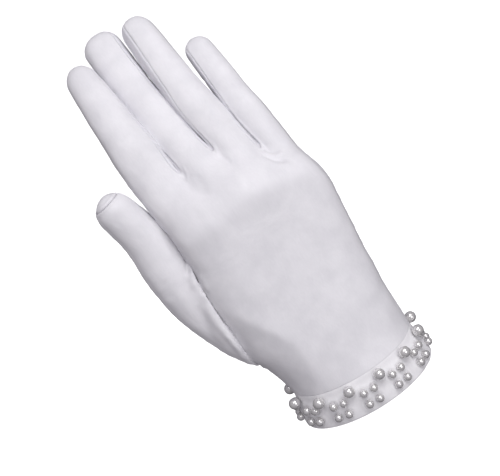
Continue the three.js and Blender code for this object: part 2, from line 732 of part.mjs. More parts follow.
// The large pearls, each sewn on by itself just below the hem's upper edge.
for (let i = 0; i < PEARL_MOTIFS; i++) {
  const geometry = new THREE.SphereGeometry(
    LARGE_PEARL / 2,
    LARGE_PEARL_SIDES,
    LARGE_PEARL_RINGS,
  );
  const node = new THREE.Mesh(geometry, pearl);
  node.name = `large_pearl_${String(i + 1).padStart(2, "0")}`;
  const angle = oval.angleAt(frontMiddle + FIRST_PEARL + i * oval.pitch);
  node.position.copy(pearlCentre(angle, LARGE_PEARL_HEIGHT, LARGE_PEARL / 2, PEARL_GAP));
  glove.add(node);
}

export default glove;
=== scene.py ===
import math

import bmesh
import bpy
import numpy as np
from mathutils import Matrix, Vector, noise
from mathutils.kdtree import KDTree


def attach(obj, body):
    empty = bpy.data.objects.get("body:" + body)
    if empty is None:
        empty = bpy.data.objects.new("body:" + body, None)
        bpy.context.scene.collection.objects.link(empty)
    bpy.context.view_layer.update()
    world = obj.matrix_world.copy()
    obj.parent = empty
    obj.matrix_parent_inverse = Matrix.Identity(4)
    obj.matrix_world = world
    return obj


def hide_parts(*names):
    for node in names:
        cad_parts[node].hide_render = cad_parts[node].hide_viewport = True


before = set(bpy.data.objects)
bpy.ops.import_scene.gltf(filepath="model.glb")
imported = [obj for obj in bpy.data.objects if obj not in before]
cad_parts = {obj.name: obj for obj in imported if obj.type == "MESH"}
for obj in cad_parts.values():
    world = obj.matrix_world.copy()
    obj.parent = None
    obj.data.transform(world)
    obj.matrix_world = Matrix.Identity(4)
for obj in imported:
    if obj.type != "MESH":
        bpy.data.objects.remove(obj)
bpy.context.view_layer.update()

MM = 0.001


def table(columns, *rows):
    """Rows with named columns."""
    return [dict(zip(columns.split(), row)) for row in rows]


# Sizes, as in the solids
WALL = 1.0
HEM_WALL = 1.9
SEAM_GAP = 0.3
SEAM_EASE = 0.08  # how far the edge of each piece is drawn back from its seam
HAND_LENGTH = 136
PALM_DEPTH = 33
CUFF_WIDTH = 69
CUFF_DEPTH = 53
FINGER_GAP = 0.9
HEM_HEIGHT = 17
LARGE_PEARL = 5.6
SMALL_PEARL = 4.0
PEARL_MOTIFS = 12
LARGE_PEARL_HEIGHT = 15.2
SMALL_PEARL_UPPER = 10.8
SMALL_PEARL_LOWER = 5.0
SMALL_PEARL_PITCH = 5.0
PEARL_GAP = 0.3
SMALL_PEARL_SUNK = 0.45
FIRST_PEARL = -9.2
CUFF_NECK = 0.925
# The fingers, with the solids' widths and with tapers and turns closer to the worn cloth's. Half
# way and at the tip the width is a share of the root's. Turn, in degrees, is how far a finger's
# seams have come round it at the tip.
FINGERS = table(
    "name width halfway tip depth length",
    ("index", 21.4, 0.96, 0.74, 17.6, 71),
    ("middle", 17.0, 1.07, 1.13, 17.0, 82.8),
    ("ring", 17.4, 1.04, 0.92, 16.6, 77.2),
    ("little", 13.3, 1.12, 1.03, 14.2, 63),
)
FINGER_SETS = table(
    "shift ahead tip_ahead turn",
    (0.3, 0.4, 4.0, 0),
    (3.5, 1.0, -3.6, -12),
    (3.7, 0.4, 0.6, 31),
    (1.9, -1.6, -2.6, 14),
)
ROOT_DROP = [2, 0, 0.5, 12.5, 17]
PALM_CROTCH_RISE = 4.5
FOURCHETTE_DEPTH = 0.62
TIP_CAP = 0.52
THUMB_HOLD = 0.6
THUMB_WIDTH = 25
THUMB_DEPTH = 21
THUMB_REACH = 148
THUMB_SEAM = 0.22
FOURCHETTE_ANGLE = 38
FINGER_SQUARE = 2.3
LUMPS_START = 0.84  # how far up the hand its section begins to split into fingers

# The solids' bends, with a tighter one at the knuckles
BENDS = table(
    "at over pitch lean",
    (0.25, 0.2, 6, 4.5),
    (0.775, 0.045, 19, 0),
    (1.17, 0.2, 8, 0),
    (1.38, 0.16, 6, 0),
)
# Where the knuckles' edge lies, as places across and along the hand
KNUCKLE_LINE = [
    (-34, 115), (-26, 113), (-19, 112.6), (-14.6, 113), (-6.8, 115.6), (0.5, 118), (7.7, 116), (14, 113.6),
    (25, 109.8), (38, 107),
]
KNUCKLE_AT = 105.4  # where the bend lies without that line
KNUCKLE_REACH = 26  # how far above and below the edge the shift fades out

ROOT_WIDTH = sum(f["width"] for f in FINGERS) + FINGER_GAP * 3
HALF_WIDTH = ROOT_WIDTH / 2
HALF_DEPTH = PALM_DEPTH / 2


def cuff_section(height, share):
    across = CUFF_WIDTH * share / ROOT_WIDTH
    deep = CUFF_DEPTH * share / PALM_DEPTH
    return height / HAND_LENGTH, across, across, deep, deep, 2


SECTIONS = table(
    "at left right back palm square",
    cuff_section(0, 1),
    cuff_section(HEM_HEIGHT, CUFF_NECK),
    (0.21, 0.96, 0.88, 1.3, 1.3, 2.1),
    (0.28, 1.03, 0.88, 1.22, 1.28, 2.3),
    (0.34, 1.12, 0.91, 1.16, 1.26, 2.45),
    (0.44, 1.11, 0.95, 1.08, 1.22, 2.65),
    (0.6, 1.05, 1.045, 1.0, 1.14, 2.85),
    (0.71, 1.0, 1.1, 0.98, 1.06, 2.9),
    (0.82, 0.975, 1.05, 0.96, 0.96, 2.85),
    (1.0, 0.975, 1.0, 0.82, 0.8, 2.7),
)
FINGER_SECTIONS = table(
    "at depth moved",
    (0.0, 1.06, 0.0),
    (0.2, 0.98, 0.42),
    (0.45, 0.96, 0.78),
    (0.7, 0.91, 0.97),
    (1.0, 0.84, 1.0),
)
THUMB_SECTIONS = table(
    "at across behind width depth",
    (0.29, -0.78, 0.12, 0.72, 0.8),
    (0.36, -0.96, 0.18, 0.86, 0.9),
    (0.45, -1.1, 0.26, 0.96, 0.98),
    (0.56, -1.2, 0.36, 1.0, 1.0),
    (0.68, -1.25, 0.46, 0.98, 0.96),
    (0.81, -1.26, 0.55, 0.84, 0.86),
    (0.93, -1.35, 0.56, 0.74, 0.78),
)

# The rows and columns of the hand's cage, as shares of each panel's width and length
PANEL_SHARES = [0, 0.085, 0.23, 0.37, 0.5, 0.63, 0.77, 0.915, 1]
FLANK_SHARES = [0.14, 0.5, 0.86]
PALM_ROWS = [0, 0.01, 0.03] + list(np.linspace(0.06, 0.97, 32)) + [0.988]
FINGER_ROWS = [0.012, 0.03, 0.055, 0.09, 0.13] + list(np.linspace(0.18, 1, 18))
CAP_ANGLES = [14, 28, 42, 56, 70, 81]
FLANK_COLUMNS = len(FLANK_SHARES) + 1
HAND_LEVELS = 2
THUMB_LEVELS = 2
FINGER_JOIN = 0.08  # the share of a finger's length in which it grows out of the root row
# A fourchette gets narrower up the finger, by these shares of its whole taper at these stops
FOURCHETTE_END = 1.01
FOURCHETTE_TAPER = 0.28
FOURCHETTE_POINT = 0.75  # how much narrower still it is round the tip
TAPER_STOPS = [0, 0.06, 0.2, 0.4, 0.6, FOURCHETTE_END]
TAPER_SHARES = [0, 0.12, 0.4, 0.7, 0.9, 1]
# How far along a finger its seams have made what share of their turn
TURN_STOPS = [0, 0.15, 0.34, 0.55, 0.75, 0.9]
TURN_SHARES = [0, 0.05, 0.16, 0.6, 0.87, 1]
# How much fuller each side of a finger is where it presses on its neighbour, and how far up
PRESSED = 0.85
PRESSED_TO = 0.3
WELD = 0.08  # vertices closer than this are welded after the thumb is joined
SLIVER = 0.02  # and faces thinner than this are taken out
PANELS = [
    "back_panel",
    "palm_panel",
    "fourchette_index_middle",
    "fourchette_middle_ring",
    "fourchette_ring_little",
    "thumb_back",
    "thumb_palm",
]
CLOSING = len(PANELS)  # the label of the cuff's closing faces, which are taken out
THUMB_BACK, THUMB_PALM = PANELS.index("thumb_back"), PANELS.index("thumb_palm")


def smooth(x):
    x = np.clip(x, 0, 1)
    return x * x * (3 - 2 * x)


def bell(x):
    return np.exp(-x * x)


def bump(x, height, place, width):
    return height * bell((x - place) / width)


def mix(a, b, t):
    return a + (b - a) * t


def read(rows, column, place):
    """One column of a table at any place, smooth through its rows."""
    at = np.array([row["at"] for row in rows], float)
    value = np.array([row[column] for row in rows], float)
    slope = np.empty_like(value)
    slope[1:-1] = (value[2:] - value[:-2]) / (at[2:] - at[:-2])
    slope[0] = (value[1] - value[0]) / (at[1] - at[0])
    slope[-1] = (value[-1] - value[-2]) / (at[-1] - at[-2])
    i = np.clip(np.searchsorted(at, place) - 1, 0, len(at) - 2)
    span = at[i + 1] - at[i]
    t = np.clip((place - at[i]) / span, 0, 1)
    rise = value[i + 1] - value[i]
    a, b = slope[i] * span, slope[i + 1] * span
    return value[i] + a * t + (3 * rise - 2 * a - b) * t * t + (a + b - 2 * rise) * t**3


def cos_sin(degrees):
    return math.cos(math.radians(degrees)), math.sin(math.radians(degrees))


def norm(vectors):
    return np.linalg.norm(vectors, axis=-1)


def unit(vectors):
    return vectors / np.maximum(norm(vectors), 1e-9)[..., None]


def lengths_along(path):
    return np.concatenate([[0], np.cumsum(norm(np.diff(path, axis=0)))])


def nearest_on(path, points):
    """How far along a path each point is nearest to it, on which stretch, and how far off it lies."""
    lengths = lengths_along(path)
    best = np.full(len(points), 1e9)
    along = np.zeros(len(points))
    stretch = np.zeros(len(points), int)
    off = np.zeros(points.shape)
    for k, (a, b) in enumerate(zip(path, path[1:])):
        way = b - a
        t = np.clip((points - a) @ way / (way @ way), 0, 1)
        here = points - a - t[:, None] * way
        away = norm(here)
        nearer = away < best
        best[nearer] = away[nearer]
        along[nearer] = (lengths[k] + t * (lengths[k + 1] - lengths[k]))[nearer]
        stretch[nearer] = k
        off[nearer] = here[nearer]
    return along, stretch, off


# The hand's spine is a table of places in steps, and runs on past the fingertips
STEP = 0.5
SPINE_LENGTH = HAND_LENGTH + 106.6
SPINE_HALVINGS = 22
SLIP_ROUNDS = 14


def make_spine():
    """The spine's lengths, places and axes."""
    s = np.arange(0, SPINE_LENGTH, STEP)
    pitch = np.zeros_like(s)
    lean = np.zeros_like(s)
    for bend in BENDS:
        turned = smooth((s / HAND_LENGTH - bend["at"]) / bend["over"] + 0.5)
        pitch += math.radians(bend["pitch"]) * turned
        lean += math.radians(bend["lean"]) * turned
    zero, one = np.zeros_like(s), np.ones_like(s)
    cp, sp, cl, sl = np.cos(-pitch), np.sin(-pitch), np.cos(-lean), np.sin(-lean)
    turn_x = np.stack([one, zero, zero, zero, cp, -sp, zero, sp, cp], 1).reshape(-1, 3, 3)
    turn_y = np.stack([cl, zero, sl, zero, one, zero, -sl, zero, cl], 1).reshape(-1, 3, 3)
    axes = turn_x @ turn_y
    at = np.zeros((len(s), 3))
    at[1:] = np.cumsum(axes[:-1, :, 2] * STEP, 0)
    return s, at, axes


SPINE_S, SPINE_AT, SPINE_AXES = make_spine()


def frames_at(s):
    i = np.clip(np.floor(s / STEP).astype(int), 0, len(SPINE_S) - 2)
    t = (s / STEP - i)[..., None]
    at = mix(SPINE_AT[i], SPINE_AT[i + 1], t)
    return at, mix(SPINE_AXES[i], SPINE_AXES[i + 1], t[..., None])


def knuckle_slip(x, s):
    """How far the bend at the knuckles lies from its straight place, faded out above and below."""
    xs, line = zip(*KNUCKLE_LINE)
    edge = np.interp(x, xs, line)
    return (KNUCKLE_AT - edge) * (1 - smooth(np.abs(s - edge) / KNUCKLE_REACH))


def worn(points):
    """Points of the flat-laid hand, x across, y deep and s along, carried onto the bent hand."""
    x, y, s = np.asarray(points, float).T
    slip = knuckle_slip(x, s)
    at, axes = frames_at(s + slip)
    return at + axes[:, :, 0] * x[:, None] + axes[:, :, 1] * y[:, None] - axes[:, :, 2] * slip[:, None]


def laid(points):
    """The flat-laid place x, y, s of points of the bent hand."""
    low = np.zeros(len(points))
    high = np.full(len(points), SPINE_S[-2])
    for _ in range(SPINE_HALVINGS):
        middle = (low + high) / 2
        at, axes = frames_at(middle)
        ahead = np.einsum("ij,ij->i", points - at, axes[:, :, 2]) > 0
        low = np.where(ahead, middle, low)
        high = np.where(ahead, high, middle)
    at, axes = frames_at(low)
    x = np.einsum("ij,ij->i", points - at, axes[:, :, 0])
    y = np.einsum("ij,ij->i", points - at, axes[:, :, 1])
    s = low
    for _ in range(SLIP_ROUNDS):
        s = low - knuckle_slip(x, s)
    return np.stack([x, y, s], 1)


def worn_by_hand(x, y, s):
    """A place of the thumb, whose straight frame is held by one point of the hand."""
    i = round(THUMB_HOLD * HAND_LENGTH / STEP)
    return SPINE_AT[i] + SPINE_AXES[i] @ np.array([x, y, s - THUMB_HOLD * HAND_LENGTH])


def hand_point(u, side, s):
    """A point of the hand below the fingers: u runs 0 to 1 across, side is -1 on the back."""
    place = s / HAND_LENGTH
    left = -HALF_WIDTH * read(SECTIONS, "left", place)
    right = HALF_WIDTH * read(SECTIONS, "right", place)
    depth = HALF_DEPTH * read(SECTIONS, "back" if side < 0 else "palm", place)
    power = read(SECTIONS, "square", place)
    bulge = (1 - abs(2 * u - 1) ** power) ** (1 / power)
    return mix(left, right, u), side * depth * bulge, s


def finger_frame(index):
    """A finger's row, the middle of its root, the place of its tip and the length of its round end."""
    finger = FINGERS[index]
    before = sum(f["width"] + FINGER_GAP for f in FINGERS[:index])
    centre = -HALF_WIDTH + before + finger["width"] / 2
    tip = HAND_LENGTH - ROOT_DROP[max(index, 1)] + finger["length"]
    return finger, centre, tip, finger["width"] * TIP_CAP


def finger_point(index, t, angle, root, cap_angle=0):
    """A point of a finger at a share of its straight length and an angle round its section."""
    finger, centre, tip, cap = finger_frame(index)
    close, up = cos_sin(cap_angle)
    halfway, end = finger["halfway"], finger["tip"]
    # A parabola through 1 at the root and the two shares half way and at the tip
    taper = 1 + (4 * halfway - end - 3) * t + (2 * end - 4 * halfway + 2) * t * t
    pressed = PRESSED * (1 - smooth((t - PRESSED_TO) / PRESSED_TO))
    wide = (finger["width"] / 2 * taper + pressed) * close
    deep = finger["depth"] / 2 * read(FINGER_SECTIONS, "depth", t) * close
    c, d = cos_sin(angle)
    power = 2 / FINGER_SQUARE
    moved = read(FINGER_SECTIONS, "moved", t)
    hold = FINGER_SETS[index]
    x = centre - hold["shift"] * moved + wide * math.copysign(abs(c) ** power, c)
    y = -deep * math.copysign(abs(d) ** power, d) - mix(hold["ahead"], hold["tip_ahead"], moved)
    return x, y, mix(root, tip - cap, t) + cap * up


def root_height(k, side):
    """How far along the hand the root k lies: its outer sides are 0 and 4, the crotches between."""
    crotch = 0 < k < len(FINGERS)
    return HAND_LENGTH - ROOT_DROP[k] + (PALM_CROTCH_RISE if crotch and side > 0 else 0)


class Net:
    """A welded sheet over the whole hand, each face labelled with the piece it belongs to."""

    def __init__(self):
        self.points = []
        self.faces = []
        self.labels = []

    def point(self, p):
        self.points.append(tuple(p))
        return len(self.points) - 1

    def face(self, label, *corners):
        self.faces.append(corners)
        self.labels.append(label)


def root_row(side):
    """The row of points at the finger roots on one side of the hand."""
    row = []
    for index, finger in enumerate(FINGERS):
        centre = finger_frame(index)[1]
        edge = (finger["width"] + FINGER_GAP) / 2
        for c, share in enumerate(PANEL_SHARES):
            if index and c == 0:
                continue
            angle = mix(180 - FOURCHETTE_ANGLE, FOURCHETTE_ANGLE, share)
            height = mix(root_height(index, side), root_height(index + 1, side), share)
            x, y, s = finger_point(index, 0, -side * angle, height)
            first, last = c == 0, c == len(PANEL_SHARES) - 1
            outer = (index == 0 and first) or (index == 3 and last)
            if not outer and (first or last):
                x = centre - edge if first else centre + edge
                y = side * finger["depth"] / 2 * FOURCHETTE_DEPTH - FINGER_SETS[index]["ahead"]
            row.append((x, y, height))
    return row


def make_net():
    """The cage of the flat-laid hand: the palm's rows, then each finger's, then the closed cuff."""
    net = Net()
    columns = len(PANEL_SHARES) - 1
    back, palm = root_row(-1), root_row(1)
    flank_angles = [mix(FOURCHETTE_ANGLE, -FOURCHETTE_ANGLE, f) for f in FLANK_SHARES]
    little = [finger_point(3, 0, a, root_height(4, -1)) for a in flank_angles]
    index_flank = [finger_point(0, 0, 180 - a, root_height(0, -1)) for a in reversed(flank_angles)]
    roots = back + little + palm[::-1] + index_flank
    sides = [-1] * len(back) + [-1, 0, 1] + [1] * len(palm) + [1, 0, -1]
    count = len(roots)
    hem_top = HEM_HEIGHT + SEAM_GAP / 2

    rows = []
    for share in PALM_ROWS:
        row = []
        ease = float(smooth((share - LUMPS_START) / (1 - LUMPS_START)))
        for root, side in zip(roots, sides):
            u = min(max((root[0] + HALF_WIDTH) / ROOT_WIDTH, 0), 1)
            s = mix(hem_top, root[2], share)
            x, y, s = hand_point(u if side else round(u), side or 1, s)
            row.append(net.point((mix(x, root[0], ease), mix(y, root[1], ease), s)))
        rows.append(row)
    rows.append([net.point(root) for root in roots])
    little_seam = len(back) + 1
    index_seam = count - 2
    for low, high in zip(rows, rows[1:]):
        for c in range(count):
            n = (c + 1) % count
            label = 0 if c < little_seam or c >= index_seam else 1
            net.face(label, low[c], low[n], high[n], high[c])

    top = rows[-1]
    palm_start = len(back) + len(FLANK_SHARES)

    def palm_place(i):
        return palm_start + len(palm) - 1 - i

    webs = []
    for k in (1, 2, 3):
        b, p = np.array(back[k * columns]), np.array(palm[k * columns])
        webs.append([net.point(mix(b, p, f)) for f in FLANK_SHARES])

    for index in range(len(FINGERS)):
        first, last = index * columns, (index + 1) * columns
        loop = [top[i] for i in range(first, last + 1)]
        # The angle of each column is its first number, and its second times half the seams' spread
        angles = [(180 * (1 - s), 2 * s - 1) for s in PANEL_SHARES]
        loop += top[len(back) : len(back) + len(FLANK_SHARES)] if index == 3 else webs[index]
        angles += [(0, 1 - 2 * f) for f in FLANK_SHARES]
        loop += [top[palm_place(i)] for i in range(last, first - 1, -1)]
        angles += [(-180 * (1 - s), 1 - 2 * s) for s in reversed(PANEL_SHARES)]
        loop += top[count - len(FLANK_SHARES) :] if index == 0 else webs[index - 1][::-1]
        angles += [(180, 2 * f - 1) for f in reversed(FLANK_SHARES)]
        start = [net.points[i] for i in loop]
        size = len(loop)

        def label(column, t):
            near = column >= size - FLANK_COLUMNS
            far = columns <= column < columns + FLANK_COLUMNS
            k = index if near else index + 1
            if (near or far) and 0 < k < len(FINGERS) and t < FOURCHETTE_END:
                return 1 + k
            return 1 if columns + FLANK_COLUMNS / 2 <= column < size - FLANK_COLUMNS / 2 else 0

        stops = [(t, 0) for t in FINGER_ROWS] + [(1, cap) for cap in CAP_ANGLES]
        t_before = 0
        for t, cap in stops:
            seam = FOURCHETTE_ANGLE * (1 - FOURCHETTE_TAPER * np.interp(t, TAPER_STOPS, TAPER_SHARES))
            seam *= 1 - FOURCHETTE_POINT * float(smooth(cap / 80))
            turn = FINGER_SETS[index]["turn"] * np.interp(t, TURN_STOPS, TURN_SHARES)
            row = []
            for (fixed, share), root in zip(angles, start):
                x, y, s = finger_point(index, t, fixed + share * seam - turn, root[2], cap)
                if t < FINGER_JOIN:
                    ease = float(smooth(t / FINGER_JOIN)) ** 0.7
                    x, y = mix(root[0], x, ease), mix(root[1], y, ease)
                row.append(net.point((x, y, s)))
            for c in range(size):
                n = (c + 1) % size
                net.face(label(c, t_before + 1e-6), loop[c], loop[n], row[n], row[c])
            loop = row
            t_before = t if cap == 0 else 1
        pole = net.point(finger_point(index, 1, 90, 0, 90))
        for c in range(size):
            net.face(label(c, 1), loop[c], loop[(c + 1) % size], pole)

    floor = net.point((0, 0, hem_top))
    for c in range(count):
        net.face(CLOSING, rows[0][(c + 1) % count], rows[0][c], floor)
    return net


def add_object(name, data):
    made = bpy.data.objects.new(name, data)
    bpy.context.scene.collection.objects.link(made)
    return made


def new_mesh(name, points, faces, labels=None, slots=0):
    """A mesh object in the scene from points in millimetres."""
    mesh = bpy.data.meshes.new(name)
    mesh.from_pydata((np.asarray(points) * MM).tolist(), [], faces)
    for _ in range(slots):
        mesh.materials.append(None)
    if labels is not None:
        mesh.polygons.foreach_set("material_index", np.asarray(labels, dtype=np.int32))
    mesh.update()
    return add_object(name, mesh)


def tube_faces(rings, sides):
    """Quads between rings of points that follow each other."""
    faces = []
    for r in range(rings - 1):
        for i in range(sides):
            a, b = r * sides + i, r * sides + (i + 1) % sides
            faces.append((a, b, b + sides, a + sides))
    return faces


def shade_smooth(thing):
    for polygon in thing.data.polygons:
        polygon.use_smooth = True


def keep_flat_places(thing, places):
    """Keeps each point's place on the flat cloth, which the satin's grain is drawn on."""
    cloth = thing.data.attributes.new("cloth", "FLOAT_VECTOR", "POINT")
    cloth.data.foreach_set("vector", (places * MM).ravel().astype(np.float32))


def apply_modifiers(thing):
    depsgraph = bpy.context.evaluated_depsgraph_get()
    mesh = bpy.data.meshes.new_from_object(thing.evaluated_get(depsgraph))
    thing.modifiers.clear()
    old = thing.data
    thing.data = mesh
    bpy.data.meshes.remove(old)
    return thing


def subdivided(thing, levels):
    modifier = thing.modifiers.new("fine", "SUBSURF")
    modifier.levels = levels
    modifier.render_levels = levels
    return apply_modifiers(thing)


def catmull_rom(points, t):
    """A point and the direction of a centripetal curve through some points, t from 0 to 1."""
    last = len(points) - 1
    i = min(int(t * last), last - 1)
    w = t * last - i
    p1, p2 = points[i], points[i + 1]
    p0 = points[i - 1] if i > 0 else 2 * points[0] - points[1]
    p3 = points[i + 2] if i < last - 1 else 2 * points[-1] - points[-2]
    d0, d1, d2 = (math.sqrt(norm(b - a)) for a, b in ((p0, p1), (p1, p2), (p2, p3)))
    m1 = ((p1 - p0) / d0 - (p2 - p0) / (d0 + d1) + (p2 - p1) / d1) * d1
    m2 = ((p2 - p1) / d1 - (p3 - p1) / (d1 + d2) + (p3 - p2) / d2) * d1
    a = 2 * p1 - 2 * p2 + m1 + m2
    b = -3 * p1 + 3 * p2 - 2 * m1 - m2
    here = p1 + m1 * w + b * w * w + a * w**3
    way = m1 + 2 * b * w + 3 * a * w * w
    return here, unit(way)


THUMB_SIDES = 24
THUMB_BACK_SIDES = 11
THUMB_STATIONS = 30
THUMB_TIP_RINGS = 4  # rings of the tip that the palm half covers on the back too
DEGREE = 0.19  # millimetres round the thumb for one degree
THUMB_CUT = -135  # the angle where the places round the thumb begin


def thumb_angles():
    """Angles round the thumb, with one at each end of its seam: first the palm side's arc."""
    dip = math.degrees(math.asin(THUMB_SEAM))
    palm = np.linspace(-dip, 180 + dip, THUMB_SIDES - THUMB_BACK_SIDES, endpoint=False)
    back = np.linspace(180 + dip, 360 - dip, THUMB_BACK_SIDES, endpoint=False)
    return np.radians(np.concatenate([palm, back]))


def thumb_rings():
    """The thumb's rings as centre, across, away, half width and half depth, its foot and its tip."""
    line = [
        worn_by_hand(row["across"] * HALF_WIDTH, row["behind"] * HALF_DEPTH, row["at"] * THUMB_REACH)
        for row in THUMB_SECTIONS
    ]
    deep_axis = worn_by_hand(0, 1, 0) - worn_by_hand(0, 0, 0)
    last = len(THUMB_SECTIONS) - 1
    rings = []

    def ring(centre, way, wide, deep):
        across = unit(np.cross(deep_axis, way))
        rings.append((centre, across, np.cross(way, across), wide, deep))

    for k in range(THUMB_STATIONS + 1):
        t = k / THUMB_STATIONS
        i = min(int(t * last), last - 1)
        at = mix(THUMB_SECTIONS[i]["at"], THUMB_SECTIONS[i + 1]["at"], t * last - i)
        centre, way = catmull_rom(line, t)
        wide = THUMB_WIDTH / 2 * read(THUMB_SECTIONS, "width", at)
        deep = THUMB_DEPTH / 2 * read(THUMB_SECTIONS, "depth", at)
        ring(centre, way, wide, deep)
    cap = THUMB_REACH * (1 - THUMB_SECTIONS[-1]["at"])
    for angle in CAP_ANGLES:
        close, up = cos_sin(angle)
        ring(centre + way * cap * up, way, wide * close, deep * close)
    return rings, line[0], centre + way * cap


def thumb_track():
    """The thumb's middle line and its directions, closely spaced, for finding a place on it."""
    rings, _, tip = thumb_rings()
    centres = np.array([ring[0] for ring in rings] + [tip])
    ways = np.array([(ring[1], ring[2]) for ring in rings] + [rings[-1][1:3]])
    return centres, ways


def thumb_places(points):
    """Where points lie on the thumb: millimetres round it and up it."""
    up, stretch, off = nearest_on(thumb_line, points)
    across, palmward = thumb_ways[stretch].transpose(1, 0, 2)
    angle = np.degrees(np.arctan2(np.sum(off * palmward, 1), np.sum(off * across, 1)))
    return np.stack([np.where(angle < THUMB_CUT, angle + 360, angle) * DEGREE, up], 1)


def make_thumb():
    """The thumb as one closed mesh, its faces labelled as its two halves."""
    rings, foot, tip = thumb_rings()
    faces = tube_faces(len(rings), THUMB_SIDES)
    points = []
    for centre, across, away, wide, deep in rings:
        for angle in thumb_angles():
            points.append(centre + across * wide * math.cos(angle) + away * deep * math.sin(angle))
    points += [foot, tip]
    top = (len(rings) - 1) * THUMB_SIDES
    palm_sides = THUMB_SIDES - THUMB_BACK_SIDES
    over_tip = len(rings) - THUMB_TIP_RINGS
    sides = [i if r < over_tip else 0 for r in range(len(rings) - 1) for i in range(THUMB_SIDES)]
    for i in range(THUMB_SIDES):
        n = (i + 1) % THUMB_SIDES
        faces.append((len(points) - 2, n, i))
        faces.append((top + i, top + n, len(points) - 1))
        sides += [i, 0]
    labels = [THUMB_PALM if i < palm_sides else THUMB_BACK for i in sides]
    thumb = new_mesh("thumb", points, faces, labels, CLOSING + 1)
    outward(thumb)
    return subdivided(thumb, THUMB_LEVELS)


def outward(thing):
    """Turns all faces of a closed mesh to the outside."""
    bm = bmesh.new()
    bm.from_mesh(thing.data)
    bmesh.ops.recalc_face_normals(bm, faces=bm.faces)
    bm.to_mesh(thing.data)
    bm.free()


def make_hand():
    """The whole skin as one welded mesh, its faces labelled by material index."""
    net = make_net()
    hand = new_mesh("hand", worn(net.points), net.faces, net.labels, CLOSING + 1)
    outward(hand)
    subdivided(hand, HAND_LEVELS)
    thumb = make_thumb()
    join = hand.modifiers.new("thumb", "BOOLEAN")
    join.operation = "UNION"
    join.solver = "EXACT"
    join.object = thumb
    apply_modifiers(hand)
    bpy.data.objects.remove(thumb)
    bm = bmesh.new()
    bm.from_mesh(hand.data)
    closing = [f for f in bm.faces if f.material_index == CLOSING]
    bmesh.ops.delete(bm, geom=closing, context="FACES")
    bmesh.ops.remove_doubles(bm, verts=bm.verts, dist=WELD * MM)
    bmesh.ops.triangulate(bm, faces=[f for f in bm.faces if len(f.verts) > 4])
    bmesh.ops.dissolve_degenerate(bm, edges=bm.edges, dist=SLIVER * MM)
    bmesh.ops.triangulate(bm, faces=[f for f in bm.faces if len(f.verts) > 4])
    bm.to_mesh(hand.data)
    bm.free()
    return hand


def read_all(items, name, width, kind):
    """One property of all of a mesh's vertices, edges or faces, as an array."""
    values = np.empty(len(items) * width, dtype=kind)
    items.foreach_get(name, values)
    return values.reshape(-1, width)


class Skin:
    """The welded skin as arrays: places in millimetres, faces, labels and which vertex is in what."""

    def __init__(self, thing):
        mesh = thing.data
        self.places = read_all(mesh.vertices, "co", 3, float) / MM
        self.edges = read_all(mesh.edges, "vertices", 2, np.int32)
        self.faces = [tuple(p.vertices) for p in mesh.polygons]
        self.labels = read_all(mesh.polygons, "material_index", 1, np.int32)[:, 0]
        self.corners = np.concatenate(self.faces)
        self.sizes = np.array([len(f) for f in self.faces])
        self.used = np.zeros((len(self.places), CLOSING), dtype=bool)
        self.used[self.corners, np.repeat(self.labels, self.sizes)] = True

    def relax(self, weights, times):
        """Moves each vertex towards the middle of its neighbours."""
        a, b = self.edges.T
        n = len(self.places)
        degree = np.bincount(a, minlength=n) + np.bincount(b, minlength=n)
        for _ in range(times):
            total = np.empty_like(self.places)
            for axis in range(3):
                value = self.places[:, axis]
                total[:, axis] = np.bincount(a, value[b], n) + np.bincount(b, value[a], n)
            middle = total / np.maximum(degree, 1)[:, None]
            self.places += (middle - self.places) * weights[:, None]

    def normals(self):
        """The direction out of the skin at each vertex, from the faces round it."""
        first = np.cumsum(self.sizes) - self.sizes
        c, p = self.corners, self.places
        a, b, mid, d = (p[c[i]] for i in (first, first + 1, first + 2, first + self.sizes - 1))
        face = np.cross(mid - a, d - b)
        triangle = self.sizes == 3
        face[triangle] = np.cross(b - a, d - a)[triangle]
        spread = np.repeat(face, self.sizes, axis=0)
        total = np.stack([np.bincount(c, spread[:, k], len(p)) for k in range(3)], 1)
        return unit(total)


def distance_to(points, targets, far):
    """Distance in millimetres from each point to the nearest of some targets, far at most."""
    out = np.full(len(points), float(far))
    if not len(targets):
        return out
    tree = KDTree(len(targets))
    for i, t in enumerate(targets):
        tree.insert(t, i)
    tree.balance()
    low, high = targets.min(0) - far, targets.max(0) + far
    near = np.where(np.all((points > low) & (points < high), axis=1))[0]
    for i in near:
        out[i] = min(tree.find(points[i])[2], far)
    return out


def uneven(points, height, size, seed):
    """Smooth lumps of a given height, and of one size in millimetres or one for each axis."""
    shift = Vector((seed * 7.31, seed * 3.17, seed * 5.71))
    return height * np.array([noise.noise(Vector(p) + shift) for p in points / np.asarray(size)])


# How far from a seam its distance is measured, and how the thumb's join is softened
INSET_NEAR = 12
SEAM_NEAR = 8
SOFT_REACH = 6
SOFT_SHARE = 0.5
SOFT_TIMES = 26

skin = Skin(make_hand())
bpy.data.objects.remove(bpy.data.objects["hand"])

on_thumb = skin.used[:, THUMB_BACK] | skin.used[:, THUMB_PALM]
thumb_seam = on_thumb & (skin.used[:, 0] | skin.used[:, 1])
seam_distance = distance_to(skin.places, skin.places[thumb_seam], INSET_NEAR)
skin.relax(SOFT_SHARE * (1 - smooth(seam_distance / SOFT_REACH)), SOFT_TIMES)
seam_distance = distance_to(skin.places, skin.places[thumb_seam], INSET_NEAR)
flat = laid(skin.places)
normal = skin.normals()
base = skin.places.copy()
thumb_line, thumb_ways = thumb_track()


FOLD_TAPER = 0.25  # the share of a fold's length in which each of its ends fades out
FOLD_END = 0.15


